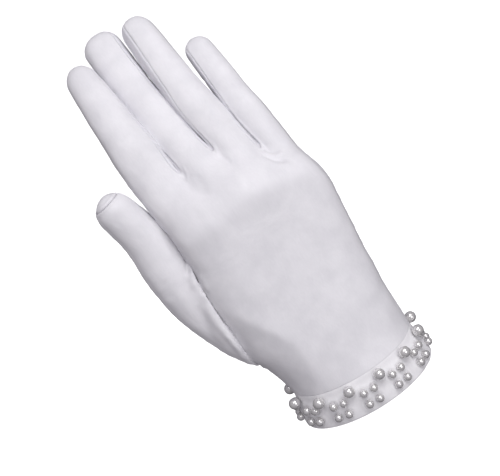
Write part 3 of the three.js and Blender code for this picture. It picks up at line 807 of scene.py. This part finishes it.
def fold(places, path, width, height):
    """A ridge, or with a height below zero a crease, along a path on the flat-laid cloth."""
    path = np.asarray(path, float)
    along, _, off = nearest_on(path, places)
    share = along / lengths_along(path)[-1]
    ends = smooth(np.minimum(share, 1 - share) / FOLD_TAPER + FOLD_END)
    return height * bell(norm(off) / width) * ends


KNUCKLE_RIDGE = [
    (-34, 116.5), (-26, 114.5), (-15, 114.5), (-6.8, 117), (0.5, 119), (8, 117), (25, 111.4), (37, 108.6),
]
# Folds on the back of the hand: a path of places across and along, a width and a height
BACK_FOLDS = [
    ([(-16.2, 138.5), (-15.2, 134.6), (-13.3, 132.4), (-11.6, 134.6), (-11.2, 138.5)], 0.6, 0.5),
    ([(1.4, 139.5), (2.2, 136.6), (4.0, 134.6), (5.6, 136.6), (6.4, 139.5)], 0.6, 0.5),
    ([(5.2, 134.4), (6.4, 132.1), (7.2, 129.8)], 0.9, -0.45),
    ([(20.8, 124.6), (22.6, 121.4), (25.2, 119.0), (29.2, 117.4)], 0.75, 1.0),
    ([(19.6, 122.4), (21.6, 118.4), (24.5, 114.8), (29.0, 110.2)], 1.1, 0.75),
    ([(20.6, 123.2), (23.8, 117.8), (28.0, 114.4)], 0.8, -0.95),
    ([(-9.0, 133.5), (-9.8, 128.5), (-11.8, 124)], 2.2, -0.5),
    ([(6.6, 131), (7.6, 126), (8.0, 120)], 2.4, -0.35),
    (KNUCKLE_RIDGE, 2.2, 0.3),
    ([(-33.5, 168), (-31, 170.6), (-27.5, 170)], 1.8, -0.16),
    ([(-33.5, 176), (-31, 178), (-28, 177.2)], 2.0, -0.2),
    ([(-32, 150), (-28, 152.2), (-23, 151.4)], 2.4, -0.2),
    ([(-29, 161), (-25, 162), (-20.5, 161.2)], 1.4, -0.16),
    ([(-13, 160), (-9, 161.2), (-5, 160.4)], 1.4, -0.18),
    ([(-12.4, 169), (-9, 171), (-5.4, 170.3)], 1.4, -0.16),
    ([(5, 157), (9, 159.2), (14, 158.3)], 1.5, -0.22),
    ([(4.4, 166), (8.4, 168), (13.4, 167.2)], 1.4, -0.2),
    ([(23, 144), (27, 147), (31, 146.2)], 1.4, -0.26),
    ([(21.6, 152.5), (25.6, 154.4), (30.6, 153.7)], 1.4, -0.22),
    ([(-35, 77), (-33, 74), (-28, 65), (-23, 57), (-19, 48), (-17.4, 42), (-18, 32), (-20, 22)], 4.0, 0.4),
    ([(33, 42), (25, 38), (16, 36)], 2.6, -0.18),
]
# Where the back of the wrist turns down to the thumb side: places along and across, and how far
WRIST_LINE = [
    (14, -20.5), (23.5, -20), (30, -18.8), (36, -17.6), (41, -17.4), (46, -18.2), (50, -19.6), (56, -22.6),
    (63, -26.8), (70, -31), (80, -36), (90, -44),
]
WRIST_SLOPE = 0.225
WRIST_ROUND = 2.5  # how softly the slope begins
WRIST_SETS_IN = 12  # over what height the slope sets in above the hem
WRIST_ENDS = 66  # where it begins to fade out, and over what height
WRIST_ENDS_OVER = 30
# Folds on the palm side, in the same columns
PALM_FOLDS = [
    ([(-30, 84), (-16, 79), (-6, 68), (-3, 54), (-4, 40)], 2.2, -0.8),
    ([(-33, 100), (-18, 99), (0, 93), (14, 84), (22, 72)], 1.8, -0.7),
    ([(34, 101), (20, 104), (4, 109), (-10, 116)], 1.8, -0.7),
    ([(-24, 62), (-16, 56), (-11, 48)], 2.6, 0.4),
    ([(20, 62), (24, 50), (22, 38)], 2.8, 0.4),
    ([(-30, 30), (-10, 27), (12, 28), (30, 32)], 1.8, -0.45),
    ([(-28, 24.5), (-8, 22), (14, 23), (30, 26)], 1.6, -0.35),
    ([(-35, 157), (-26, 158), (-17, 157)], 1.6, -0.7),
    ([(-34, 185), (-27, 186), (-20, 185)], 1.4, -0.55),
    ([(-17, 159), (-9, 160), (-1, 159)], 1.6, -0.7),
    ([(-18, 187), (-11, 188), (-4, 187)], 1.4, -0.55),
    ([(1, 157), (9, 158), (17, 157)], 1.6, -0.7),
    ([(0, 184), (8, 185), (15, 184)], 1.4, -0.55),
    ([(20, 147), (27, 148), (34, 147)], 1.5, -0.6),
    ([(19, 166), (26, 167), (33, 166)], 1.3, -0.45),
    ([(-36, 131), (-26, 133), (-16, 131)], 1.7, -0.6),
    ([(-13, 135), (-5, 137), (3, 135)], 1.7, -0.55),
    ([(5, 133), (13, 134), (21, 131)], 1.7, -0.55),
    ([(23, 124), (29, 124), (36, 121)], 1.7, -0.55),
]
# Folds round the thumb, whose places are degrees round it and millimetres up it
THUMB_FOLDS = [
    ([(-120, 96), (-96, 98), (-70, 97)], 2.2, -0.25),
    ([(-110, 84), (-84, 87), (-60, 86)], 2.4, -0.2),
    ([(50, 74), (90, 76), (130, 74)], 2.0, -0.55),
    ([(50, 46), (90, 49), (130, 46)], 2.4, -0.6),
    ([(150, 40), (180, 30), (205, 22)], 5.0, -0.4),
    ([(160, 54), (188, 44), (215, 34)], 5.0, 0.3),
]
# The cloth that is stretched between thumb and hand: where along the hand, over what length, how
# far from the seam and how thick, with shares of that on the thumb and on the hand
WEB_AT = 92
WEB_LENGTH = 20
WEB_REACH = 4.2
WEB_FILL = 2.6
WEB_ON_THUMB = 1.35
WEB_ON_HAND = 0.6
# Creases where the thumb is set in, on the back: places across and along
INSET_FOLDS = [
    ([(-35.4, 115), (-37.2, 110), (-38.4, 106), (-39.4, 100)], 0.75, -1.5),
    ([(-36.4, 107), (-38.0, 102), (-39.4, 97), (-40.6, 89.7)], 1.1, 0.9),
    ([(-36.4, 96), (-37.7, 90.2), (-39.0, 85.6)], 0.85, -1.2),
    ([(-34.0, 98), (-34.8, 92), (-36.0, 86)], 1.2, 0.5),
    ([(-40.6, 84), (-42, 74), (-41.6, 67), (-40.6, 57.6), (-39.9, 50)], 1.9, 1.0),
    ([(-43.6, 84), (-46.6, 74), (-47.8, 66), (-47.0, 56)], 2.6, -0.7),
    ([(-50, 112), (-51, 104), (-52.5, 92)], 3.0, -0.4),
]
# Seams, each with a groove where the cloth is drawn in and a welt on both sides, as height, place
# and width, and how uneven the welt is
SIDE_SEAM = {"groove": (-0.4, 0, 0.42), "welt": (0.36, 1.0, 0.55), "uneven": 0.6}
INSET_SEAM = {"groove": (-0.55, 0, 0.7), "welt": (0.3, 2.2, 1.3), "uneven": 0.8}
STITCH_PULL = 2.6  # the size of the lumps that uneven stitches leave
# On the fingers the side seams lie flatter: by what share, from where along them and over how far
FLATTER = 0.66
FLATTER_FROM = 141
FLATTER_OVER = 12
BACK_BLEND = 6  # the depth over which the folds of the back give way to the palm's
# Uneven cloth: height, size of the lumps in each direction, and which noise
UNEVEN = [(0.3, (11, 14, 24), 2), (0.12, (4.5, 6, 8), 3)]
UNEVEN_FROM_HEM = 6


def seam_relief(distance, seam):
    return bump(distance, *seam["groove"]) + bump(distance, *seam["welt"]) * (1 + seam["uneven"] * tight)


side_seams = (np.sum(skin.used, axis=1) > 1) & ~thumb_seam
sewn = distance_to(base, base[side_seams], SEAM_NEAR)
tight = uneven(base, 1, STITCH_PULL, 1)
pressed_flat = 1 - FLATTER * smooth((flat[:, 2] - FLATTER_FROM) / FLATTER_OVER)
depth = seam_relief(sewn, SIDE_SEAM) * pressed_flat + seam_relief(seam_distance, INSET_SEAM)
on_hand = ~on_thumb | thumb_seam
behind = smooth(0.5 - flat[:, 1] / BACK_BLEND)
across_along = flat[:, [0, 2]]
for path, width, height in BACK_FOLDS:
    depth += fold(across_along, path, width, height) * behind * on_hand
left_of = np.interp(flat[:, 2], *zip(*WRIST_LINE)) - flat[:, 0]
turned_down = WRIST_SLOPE * (np.hypot(np.maximum(left_of, 0), WRIST_ROUND) - WRIST_ROUND)
turned_down *= behind * on_hand
turned_down *= smooth((flat[:, 2] - HEM_HEIGHT + 1) / WRIST_SETS_IN)
turned_down *= 1 - smooth((flat[:, 2] - WRIST_ENDS) / WRIST_ENDS_OVER)
for path, width, height in PALM_FOLDS:
    depth += fold(across_along, path, width, height) * (1 - behind) * on_hand
round_thumb = thumb_places(base)
for path, width, height in THUMB_FOLDS:
    path = [(a * DEGREE, b) for a, b in path]
    depth += fold(round_thumb, path, width, height) * on_thumb
outside_back = smooth(-normal[:, 1] * 2)
bridged = bell(seam_distance / WEB_REACH) * bell((flat[:, 2] - WEB_AT) / WEB_LENGTH) * outside_back
depth += WEB_FILL * bridged * np.where(on_thumb, WEB_ON_THUMB, WEB_ON_HAND)
for path, width, height in INSET_FOLDS:
    depth += fold(across_along, path, width, height) * outside_back
fade = smooth((flat[:, 2] - HEM_HEIGHT) / UNEVEN_FROM_HEM)
for lumps in UNEVEN:
    depth += uneven(flat, *lumps) * fade

base = base + np.outer(turned_down, (0, 1, 0))
skin.places = base + normal * depth[:, None]


def piece_mesh(name, label):
    """One cloth piece as a closed shell: its outer skin, its lining side and the edges between."""
    faces = [skin.faces[i] for i in np.where(skin.labels == label)[0]]
    used = np.unique(np.concatenate(faces))
    index = np.full(len(skin.places), -1)
    index[used] = np.arange(len(used))
    edges = dict.fromkeys((a, b) for f in faces for a, b in zip(f, f[1:] + f[:1]))
    border = [(a, b) for a, b in edges if (b, a) not in edges]
    a, b = np.array(border).T
    into = unit(np.cross(normal[a] + normal[b], skin.places[b] - skin.places[a]))
    drawn = np.zeros((len(skin.places), 3))
    np.add.at(drawn, a, into)
    np.add.at(drawn, b, into)
    drawn = unit(drawn) * SEAM_EASE
    outer = skin.places[used] + drawn[used]
    inner = base[used] + drawn[used] + normal[used] * (np.minimum(depth[used], 0) - WALL)[:, None]
    count = len(used)
    out = [tuple(index[list(f)]) for f in faces]
    back = [tuple(i + count for i in reversed(f)) for f in out]
    wall = [(index[b], index[a], index[a] + count, index[b] + count) for a, b in border]
    made = new_mesh(name, np.concatenate([outer, inner]), [list(map(int, f)) for f in out + back + wall])
    shade_smooth(made)
    keep_flat_places(made, np.concatenate([flat[used], flat[used]]))
    return made


cloth_pieces = {name: piece_mesh(name + "_cloth", label) for label, name in enumerate(PANELS)}


# The hem
OVAL_SIDES = 720
PEARL_STEP = 0.01  # the small step that finds which way the hem's cloth faces at a pearl


def cuff_point(angle, height, inset=0.0):
    place = height / HAND_LENGTH
    wide = HALF_WIDTH * read(SECTIONS, "right", place) - inset
    deep = HALF_DEPTH * read(SECTIONS, "back", place) - inset
    return np.stack([wide * np.cos(angle), deep * np.sin(angle), height + 0 * angle], -1)


def lengths_round(height):
    """The length round the hem from the +X side to each of its fine steps."""
    return lengths_along(cuff_point(2 * math.pi * np.arange(OVAL_SIDES + 1) / OVAL_SIDES, height))


oval = lengths_round(LARGE_PEARL_HEIGHT)
oval_total = oval[-1]
front_middle = 0.75 * oval_total


def angle_at(length):
    i = np.searchsorted(oval, np.mod(length, oval_total))
    return 2 * math.pi * i / OVAL_SIDES


def pearl_place(angle, height, radius, clear):
    """A pearl's centre and the directions along the hem, up the cloth and out of it."""
    here = cuff_point(angle, height)
    along = unit(cuff_point(angle + PEARL_STEP, height) - here)
    out = unit(np.cross(along, cuff_point(angle, height + PEARL_STEP) - here))
    return here + out * (radius + clear), along, np.cross(out, along), out


large_places = []
small_places = []
for i in range(PEARL_MOTIFS):
    length = front_middle + FIRST_PEARL + i * oval_total / PEARL_MOTIFS
    spot = pearl_place(angle_at(length), LARGE_PEARL_HEIGHT, LARGE_PEARL / 2, PEARL_GAP)
    large_places.append(spot)
    middle = length + 0.5 * oval_total / PEARL_MOTIFS
    for height in (SMALL_PEARL_UPPER, SMALL_PEARL_LOWER):
        for share in (-0.5, 0.5):
            angle = angle_at(middle + share * SMALL_PEARL_PITCH)
            small_places.append(pearl_place(angle, height, SMALL_PEARL / 2, -SMALL_PEARL_SUNK))


HEM_SIDES = 600
HEM_ROWS = 34
HEM_INNER_ROWS = 10
HEM_LIP = 0.95  # the radius of its turned edge
HEM_UNDER = 1.6  # how far it runs on under the panels
LIP_ANGLES = [-62, -35, -8, 20, 48, 70]
# Its upper edge, as heights above the hem and how far in
HEM_SHOULDER = [
    (-0.4, -0.02), (0, -0.02), (0.4, 0.0), (0.8, 0.05), (1.2, 0.12), (HEM_UNDER, 0.22), (HEM_UNDER, 1.2),
    (-0.1, HEM_WALL),
]
HEM_OUTSIDE = 0.6  # what lies less far in than this is its outer side
# Its relief as height, place and width: a dimple under each pearl and a ring round it, and a
# fullness half way up
DIMPLE = (-0.35, 0, 1.5)
RING = (0.22, 3.0, 1.1)
FULL = (0.35, 8.2, 6.5)
HEM_UNEVEN = (0.2, (6, 6, 9), 3)  # as in UNEVEN
HEM_PLAIN = 4  # the height below its upper edge in which the relief fades out
BEHIND_PEARL = -8  # cloth further behind a pearl than this is on the far side of the cuff
HEM_RADIUS = 30


def make_hem():
    """The hem's points in rows round the cuff, its faces and its profile of heights and insets."""
    outer = [(h, 0.0) for h in np.linspace(1.1, HEM_HEIGHT - HEM_LIP, HEM_ROWS)]
    turns = np.radians(LIP_ANGLES)
    lip = [(HEM_LIP - HEM_LIP * math.cos(a), HEM_LIP - HEM_LIP * math.sin(a)) for a in turns]
    shoulder = [(HEM_HEIGHT + up, inset) for up, inset in HEM_SHOULDER]
    inner = [(h, HEM_WALL) for h in np.linspace(HEM_HEIGHT - 2, 1.4, HEM_INNER_ROWS)]
    profile = lip + outer + shoulder + inner
    angles = 2 * math.pi * np.arange(HEM_SIDES) / HEM_SIDES
    rows = [cuff_point(angles, max(height, 0), inset) for height, inset in profile]
    n = len(profile)
    faces = []
    for i in range(HEM_SIDES):
        m = (i + 1) % HEM_SIDES
        for k in range(n):
            u = (k + 1) % n
            faces.append((i * n + k, m * n + k, m * n + u, i * n + u))
    return np.stack(rows, 1), faces, profile


hem_points, hem_faces, hem_profile = make_hem()
flat_hem = hem_points.reshape(-1, 3)
outside = np.tile(np.array([inset < HEM_OUTSIDE for _, inset in hem_profile]), HEM_SIDES)
oval_out = flat_hem * np.array([1 / (CUFF_WIDTH / 2) ** 2, 1 / (CUFF_DEPTH / 2) ** 2, 0])
oval_out = unit(oval_out)
push = np.zeros(len(flat_hem))
for centre, along, up, out in large_places + small_places:
    away = flat_hem - centre
    near = norm(away - np.outer(away @ out, out))
    push += np.where(away @ out > BEHIND_PEARL, bump(near, *DIMPLE) + bump(near, *RING), 0)
push += bump(flat_hem[:, 2], *FULL)
push += uneven(flat_hem, *HEM_UNEVEN)
push *= 1 - smooth((flat_hem[:, 2] - HEM_HEIGHT + HEM_PLAIN) / HEM_PLAIN)
flat_hem = flat_hem + oval_out * (push * outside)[:, None]
hem = new_mesh("hem_cloth", flat_hem, hem_faces)
outward(hem)
shade_smooth(hem)
turned = np.arctan2(flat_hem[:, 1], flat_hem[:, 0])
keep_flat_places(hem, np.stack([turned * HEM_RADIUS, 0 * turned, flat_hem[:, 2]], 1))

BEAD_SIDES = 32
BEAD_RINGS = 20
BEAD_HOLE = 0.13  # radians from its axis to the rim of its hole
BEAD_SUNK = 0.8  # how far out its hole's bottom lies, as a share of its radius


def bead(radius):
    """A drilled bead about the x axis, its hole ends slightly sunk."""
    points = []
    round_it = [2 * math.pi * i / BEAD_SIDES for i in range(BEAD_SIDES)]
    for r in range(BEAD_RINGS + 1):
        t = min(max(math.pi * r / BEAD_RINGS, BEAD_HOLE), math.pi - BEAD_HOLE)
        rim = radius * math.sin(t)
        points += [(radius * math.cos(t), rim * math.cos(a), rim * math.sin(a)) for a in round_it]
    faces = tube_faces(BEAD_RINGS + 1, BEAD_SIDES)
    for end, row in ((1, 0), (-1, BEAD_RINGS)):
        points.append((end * radius * BEAD_SUNK, 0, 0))
        for i in range(BEAD_SIDES):
            n = (i + 1) % BEAD_SIDES
            faces.append((len(points) - 1, row * BEAD_SIDES + i, row * BEAD_SIDES + n))
    return np.array(points), faces


def beads(name, places, radius):
    shape, shape_faces = bead(radius)
    points, faces = [], []
    for centre, along, up, out in places:
        start = len(points) * len(shape)
        points.append(centre + shape @ np.stack([along, up, out]))
        faces += [tuple(i + start for i in f) for f in shape_faces]
    made = new_mesh(name, np.concatenate(points), faces)
    outward(made)
    shade_smooth(made)
    return made


small = beads("small_pearls", small_places, SMALL_PEARL / 2)
large = [beads(f"pearl_{i + 1:02d}", [spot], LARGE_PEARL / 2) for i, spot in enumerate(large_places)]


# Materials
def set_inputs(node, values):
    for socket, value in values.items():
        node.inputs[socket].default_value = value


def material(name, shades):
    made = bpy.data.materials.new(name)
    made.use_nodes = True
    tree = made.node_tree
    tree.nodes.clear()
    out = tree.nodes.new("ShaderNodeOutputMaterial")
    shader = tree.nodes.new("ShaderNodeBsdfPrincipled")
    set_inputs(shader, shades)
    tree.links.new(shader.outputs[0], out.inputs[0])
    return made, tree, shader


def noise_on(tree, places, scale, detail):
    """The value of a noise texture at some places."""
    texture = tree.nodes.new("ShaderNodeTexNoise")
    set_inputs(texture, {"Scale": scale, "Detail": detail})
    tree.links.new(places, texture.inputs["Vector"])
    return texture.outputs[0]


def toned(tree, value, low, high):
    """A colour that runs from one to another, each given as where it is reached and itself."""
    ramp = tree.nodes.new("ShaderNodeValToRGB")
    for stop, (at, colour) in zip(ramp.color_ramp.elements, (low, high)):
        stop.position = at
        stop.color = [*colour, 1]
    tree.links.new(value, ramp.inputs[0])
    return ramp.outputs[0]


def satin_material(name, colour, grain_turn):
    """Satin with fine threads along the cloth, drawn as bump and tone, and faint random blotches of
    painted shade that stand in for the soft shade of its small wrinkles.
    """
    shades = {"Roughness": 0.5, "Sheen Weight": 0.05, "Sheen Roughness": 0.4, "Specular IOR Level": 0.35}
    made, tree, shader = material(name, shades)
    link = tree.links.new
    place = tree.nodes.new("ShaderNodeAttribute")
    place.attribute_name = "cloth"
    turn = tree.nodes.new("ShaderNodeMapping")
    set_inputs(turn, {"Rotation": (0, grain_turn, 0), "Scale": (1600, 1600, 520)})
    link(place.outputs["Vector"], turn.inputs["Vector"])
    grain = noise_on(tree, turn.outputs[0], 1, 2)
    raised = tree.nodes.new("ShaderNodeBump")
    set_inputs(raised, {"Strength": 0.35, "Distance": 0.00008})
    link(grain, raised.inputs["Height"])
    link(raised.outputs[0], shader.inputs["Normal"])
    threads = toned(tree, grain, (0.3, [c * 0.97 for c in colour]), (0.7, colour))
    # Painted shade: random darker blotches, down to 0.93 of the colour, for the soft shade of the satin's
    # small wrinkles
    shade_patches = noise_on(tree, place.outputs["Vector"], 95, 3)
    painted_shade_mottle = toned(tree, shade_patches, (0.36, (0.93, 0.93, 0.935)), (0.62, (1, 1, 1)))
    both = tree.nodes.new("ShaderNodeVectorMath")
    both.operation = "MULTIPLY"
    link(threads, both.inputs[0])
    link(painted_shade_mottle, both.inputs[1])
    link(both.outputs[0], shader.inputs["Base Color"])
    return made


def pearl_material(name, dull, bright):
    """A glossy coat over a silvery base whose tone drifts a little, as nacre's does."""
    shades = {"Metallic": 0.65, "Roughness": 0.12, "Coat Weight": 0.9, "Coat Roughness": 0.06}
    made, tree, shader = material(name, shades)
    place = tree.nodes.new("ShaderNodeTexCoord")
    drift = noise_on(tree, place.outputs["Object"], 420, 2)
    nacre = toned(tree, drift, (0.35, dull), (0.65, bright))
    tree.links.new(nacre, shader.inputs["Base Color"])
    return made


satin = satin_material("white_satin", (0.80, 0.79, 0.82), 0.7)
# Painted shade: the fourchettes get a darker copy of the same satin, for the shade on the fingers' sides;
# their grain is turned the other way
satin_side = satin_material("white_satin_side_painted_shade", (0.77, 0.76, 0.80), -0.7)
# Partly painted light: the hem gets a lighter copy of the same satin, partly for its double layer showing
# whiter, partly to brighten it where it lies in shade
satin_hem = satin_material("white_satin_hem_double_layer_and_painted_light", (0.9, 0.89, 0.91), 0.7)
pearl = pearl_material("imitation_pearl", (0.70, 0.69, 0.70), (0.78, 0.77, 0.755))

# Each piece with its material, the solid that it stands for and its slot
dressed = []
for name, thing in cloth_pieces.items():
    side = name.startswith("fourchette")
    dressed.append((thing, satin_side if side else satin, name, "satin_side" if side else "satin"))
dressed.append((hem, satin_hem, "pearled_hem", "satin"))
dressed.append((small, pearl, "pearled_hem", "pearl"))
dressed += [(thing, pearl, f"large_pearl_{i + 1:02d}", "pearl") for i, thing in enumerate(large)]
for thing, finish, node, slot in dressed:
    thing.data.materials.append(finish)
    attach(thing, "root")
    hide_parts(node)


# Camera
ELEVATION = math.radians(19)
ROLL = math.radians(32)
CAMERA_DISTANCE = 640
FOCAL_LENGTH = 100.15
SENSOR_WIDTH = 36
TARGET = Vector((-8, 8, 95))
LOOK = Vector((0, math.cos(ELEVATION), -math.sin(ELEVATION)))
LEVEL = Vector((1, 0, 0))
UPRIGHT = Vector((0, math.sin(ELEVATION), math.cos(ELEVATION)))
RIGHT = math.cos(ROLL) * LEVEL - math.sin(ROLL) * UPRIGHT
UP = math.sin(ROLL) * LEVEL + math.cos(ROLL) * UPRIGHT
# How far right of the target and above it the camera looks
AIM_RIGHT = -0.77
AIM_UP = -3.99

# Lights, in metres and watts. A glint is placed by where it shows on a pearl, in shares of the
# pearl's radius right of its middle and above it.
LIGHTS_AIM = Vector((0, 0, 0.1))
KEY = {"place": (0.5, -0.62, 1.06), "size": 0.55, "power": 5.4}
GLINT_DISTANCE = 1.1
GLINT_SIZE = 0.52
GLINTS = table(
    "name right up power",
    ("glint_left", -0.12, 0.22, 2.7),
    ("glint_right", 0.24, 0.02, 2.0),
)


def make_camera():
    lens = bpy.data.cameras.new("camera")
    lens.sensor_width = SENSOR_WIDTH
    lens.lens = FOCAL_LENGTH
    lens.clip_start = 0.02
    lens.clip_end = 20
    made = add_object("camera", lens)
    aim = TARGET + AIM_RIGHT * RIGHT + AIM_UP * UP
    place = (aim - LOOK * CAMERA_DISTANCE) * MM
    turn = Matrix((RIGHT, UP, -LOOK)).transposed()
    made.matrix_world = Matrix.Translation(place) @ turn.to_4x4()
    bpy.context.scene.camera = made


def area_light(name, place, size, power):
    """A square softbox that faces the glove's middle."""
    light = bpy.data.lights.new(name, "AREA")
    light.shape = "SQUARE"
    light.size = size
    light.energy = power
    made = add_object(name, light)
    made.location = place
    made.rotation_euler = (LIGHTS_AIM - Vector(place)).to_track_quat("-Z", "Y").to_euler()


def glint_place(right, up):
    """Where a light stands whose glint on a pearl is seen at this place."""
    facing = right * RIGHT + up * UP - math.sqrt(1 - right**2 - up**2) * LOOK
    way = 2 * facing.dot(-LOOK) * facing + LOOK
    return LIGHTS_AIM + way * GLINT_DISTANCE


def make_lights():
    area_light("key", KEY["place"], KEY["size"], KEY["power"])
    for glint in GLINTS:
        area_light(glint["name"], glint_place(glint["right"], glint["up"]), GLINT_SIZE, glint["power"])


WORLD_COLOUR = (1, 0.965, 1.03, 1)
WORLD_TOWARDS = (0.1, -0.75, 0.65)
WORLD_DARKEST = 0.1
WORLD_BRIGHTEST = 0.5


def make_world():
    """An even studio, brightest in front and above and darker behind and below."""
    world = bpy.data.worlds.new("studio")
    world.use_nodes = True
    tree = world.node_tree
    back = tree.nodes["Background"]
    back.inputs[0].default_value = WORLD_COLOUR
    way = tree.nodes.new("ShaderNodeTexCoord")
    lit = tree.nodes.new("ShaderNodeVectorMath")
    lit.operation = "DOT_PRODUCT"
    lit.inputs[1].default_value = WORLD_TOWARDS
    ramp = tree.nodes.new("ShaderNodeMapRange")
    set_inputs(ramp, {"From Min": -1, "From Max": 1, "To Min": WORLD_DARKEST, "To Max": WORLD_BRIGHTEST})
    tree.links.new(way.outputs["Generated"], lit.inputs[0])
    tree.links.new(lit.outputs["Value"], ramp.inputs["Value"])
    tree.links.new(ramp.outputs[0], back.inputs[1])
    bpy.context.scene.world = world


FLOOR_SIDE = 4000
FLOOR_HEIGHT = -60
FLOOR_SHADES = {
    "Base Color": (0.9, 0.9, 0.9, 1),
    "Roughness": 0.9,
    "Specular IOR Level": 0.1,
    "Emission Color": (1, 1, 1, 1),
    "Emission Strength": 0.85,
}


def make_floor():
    """A pale floor below the glove, which is held up at its cuff."""
    square = ((-1, -1), (1, -1), (1, 1), (-1, 1))
    corners = [(FLOOR_SIDE * x, FLOOR_SIDE * y, FLOOR_HEIGHT) for x, y in square]
    floor = new_mesh("floor", corners, [(0, 1, 2, 3)])
    floor.data.materials.append(material("pale_floor", FLOOR_SHADES)[0])
    floor.visible_diffuse = False
    floor.visible_glossy = False


make_camera()
make_lights()
make_world()
make_floor()
bpy.context.scene.view_settings.view_transform = "Standard"
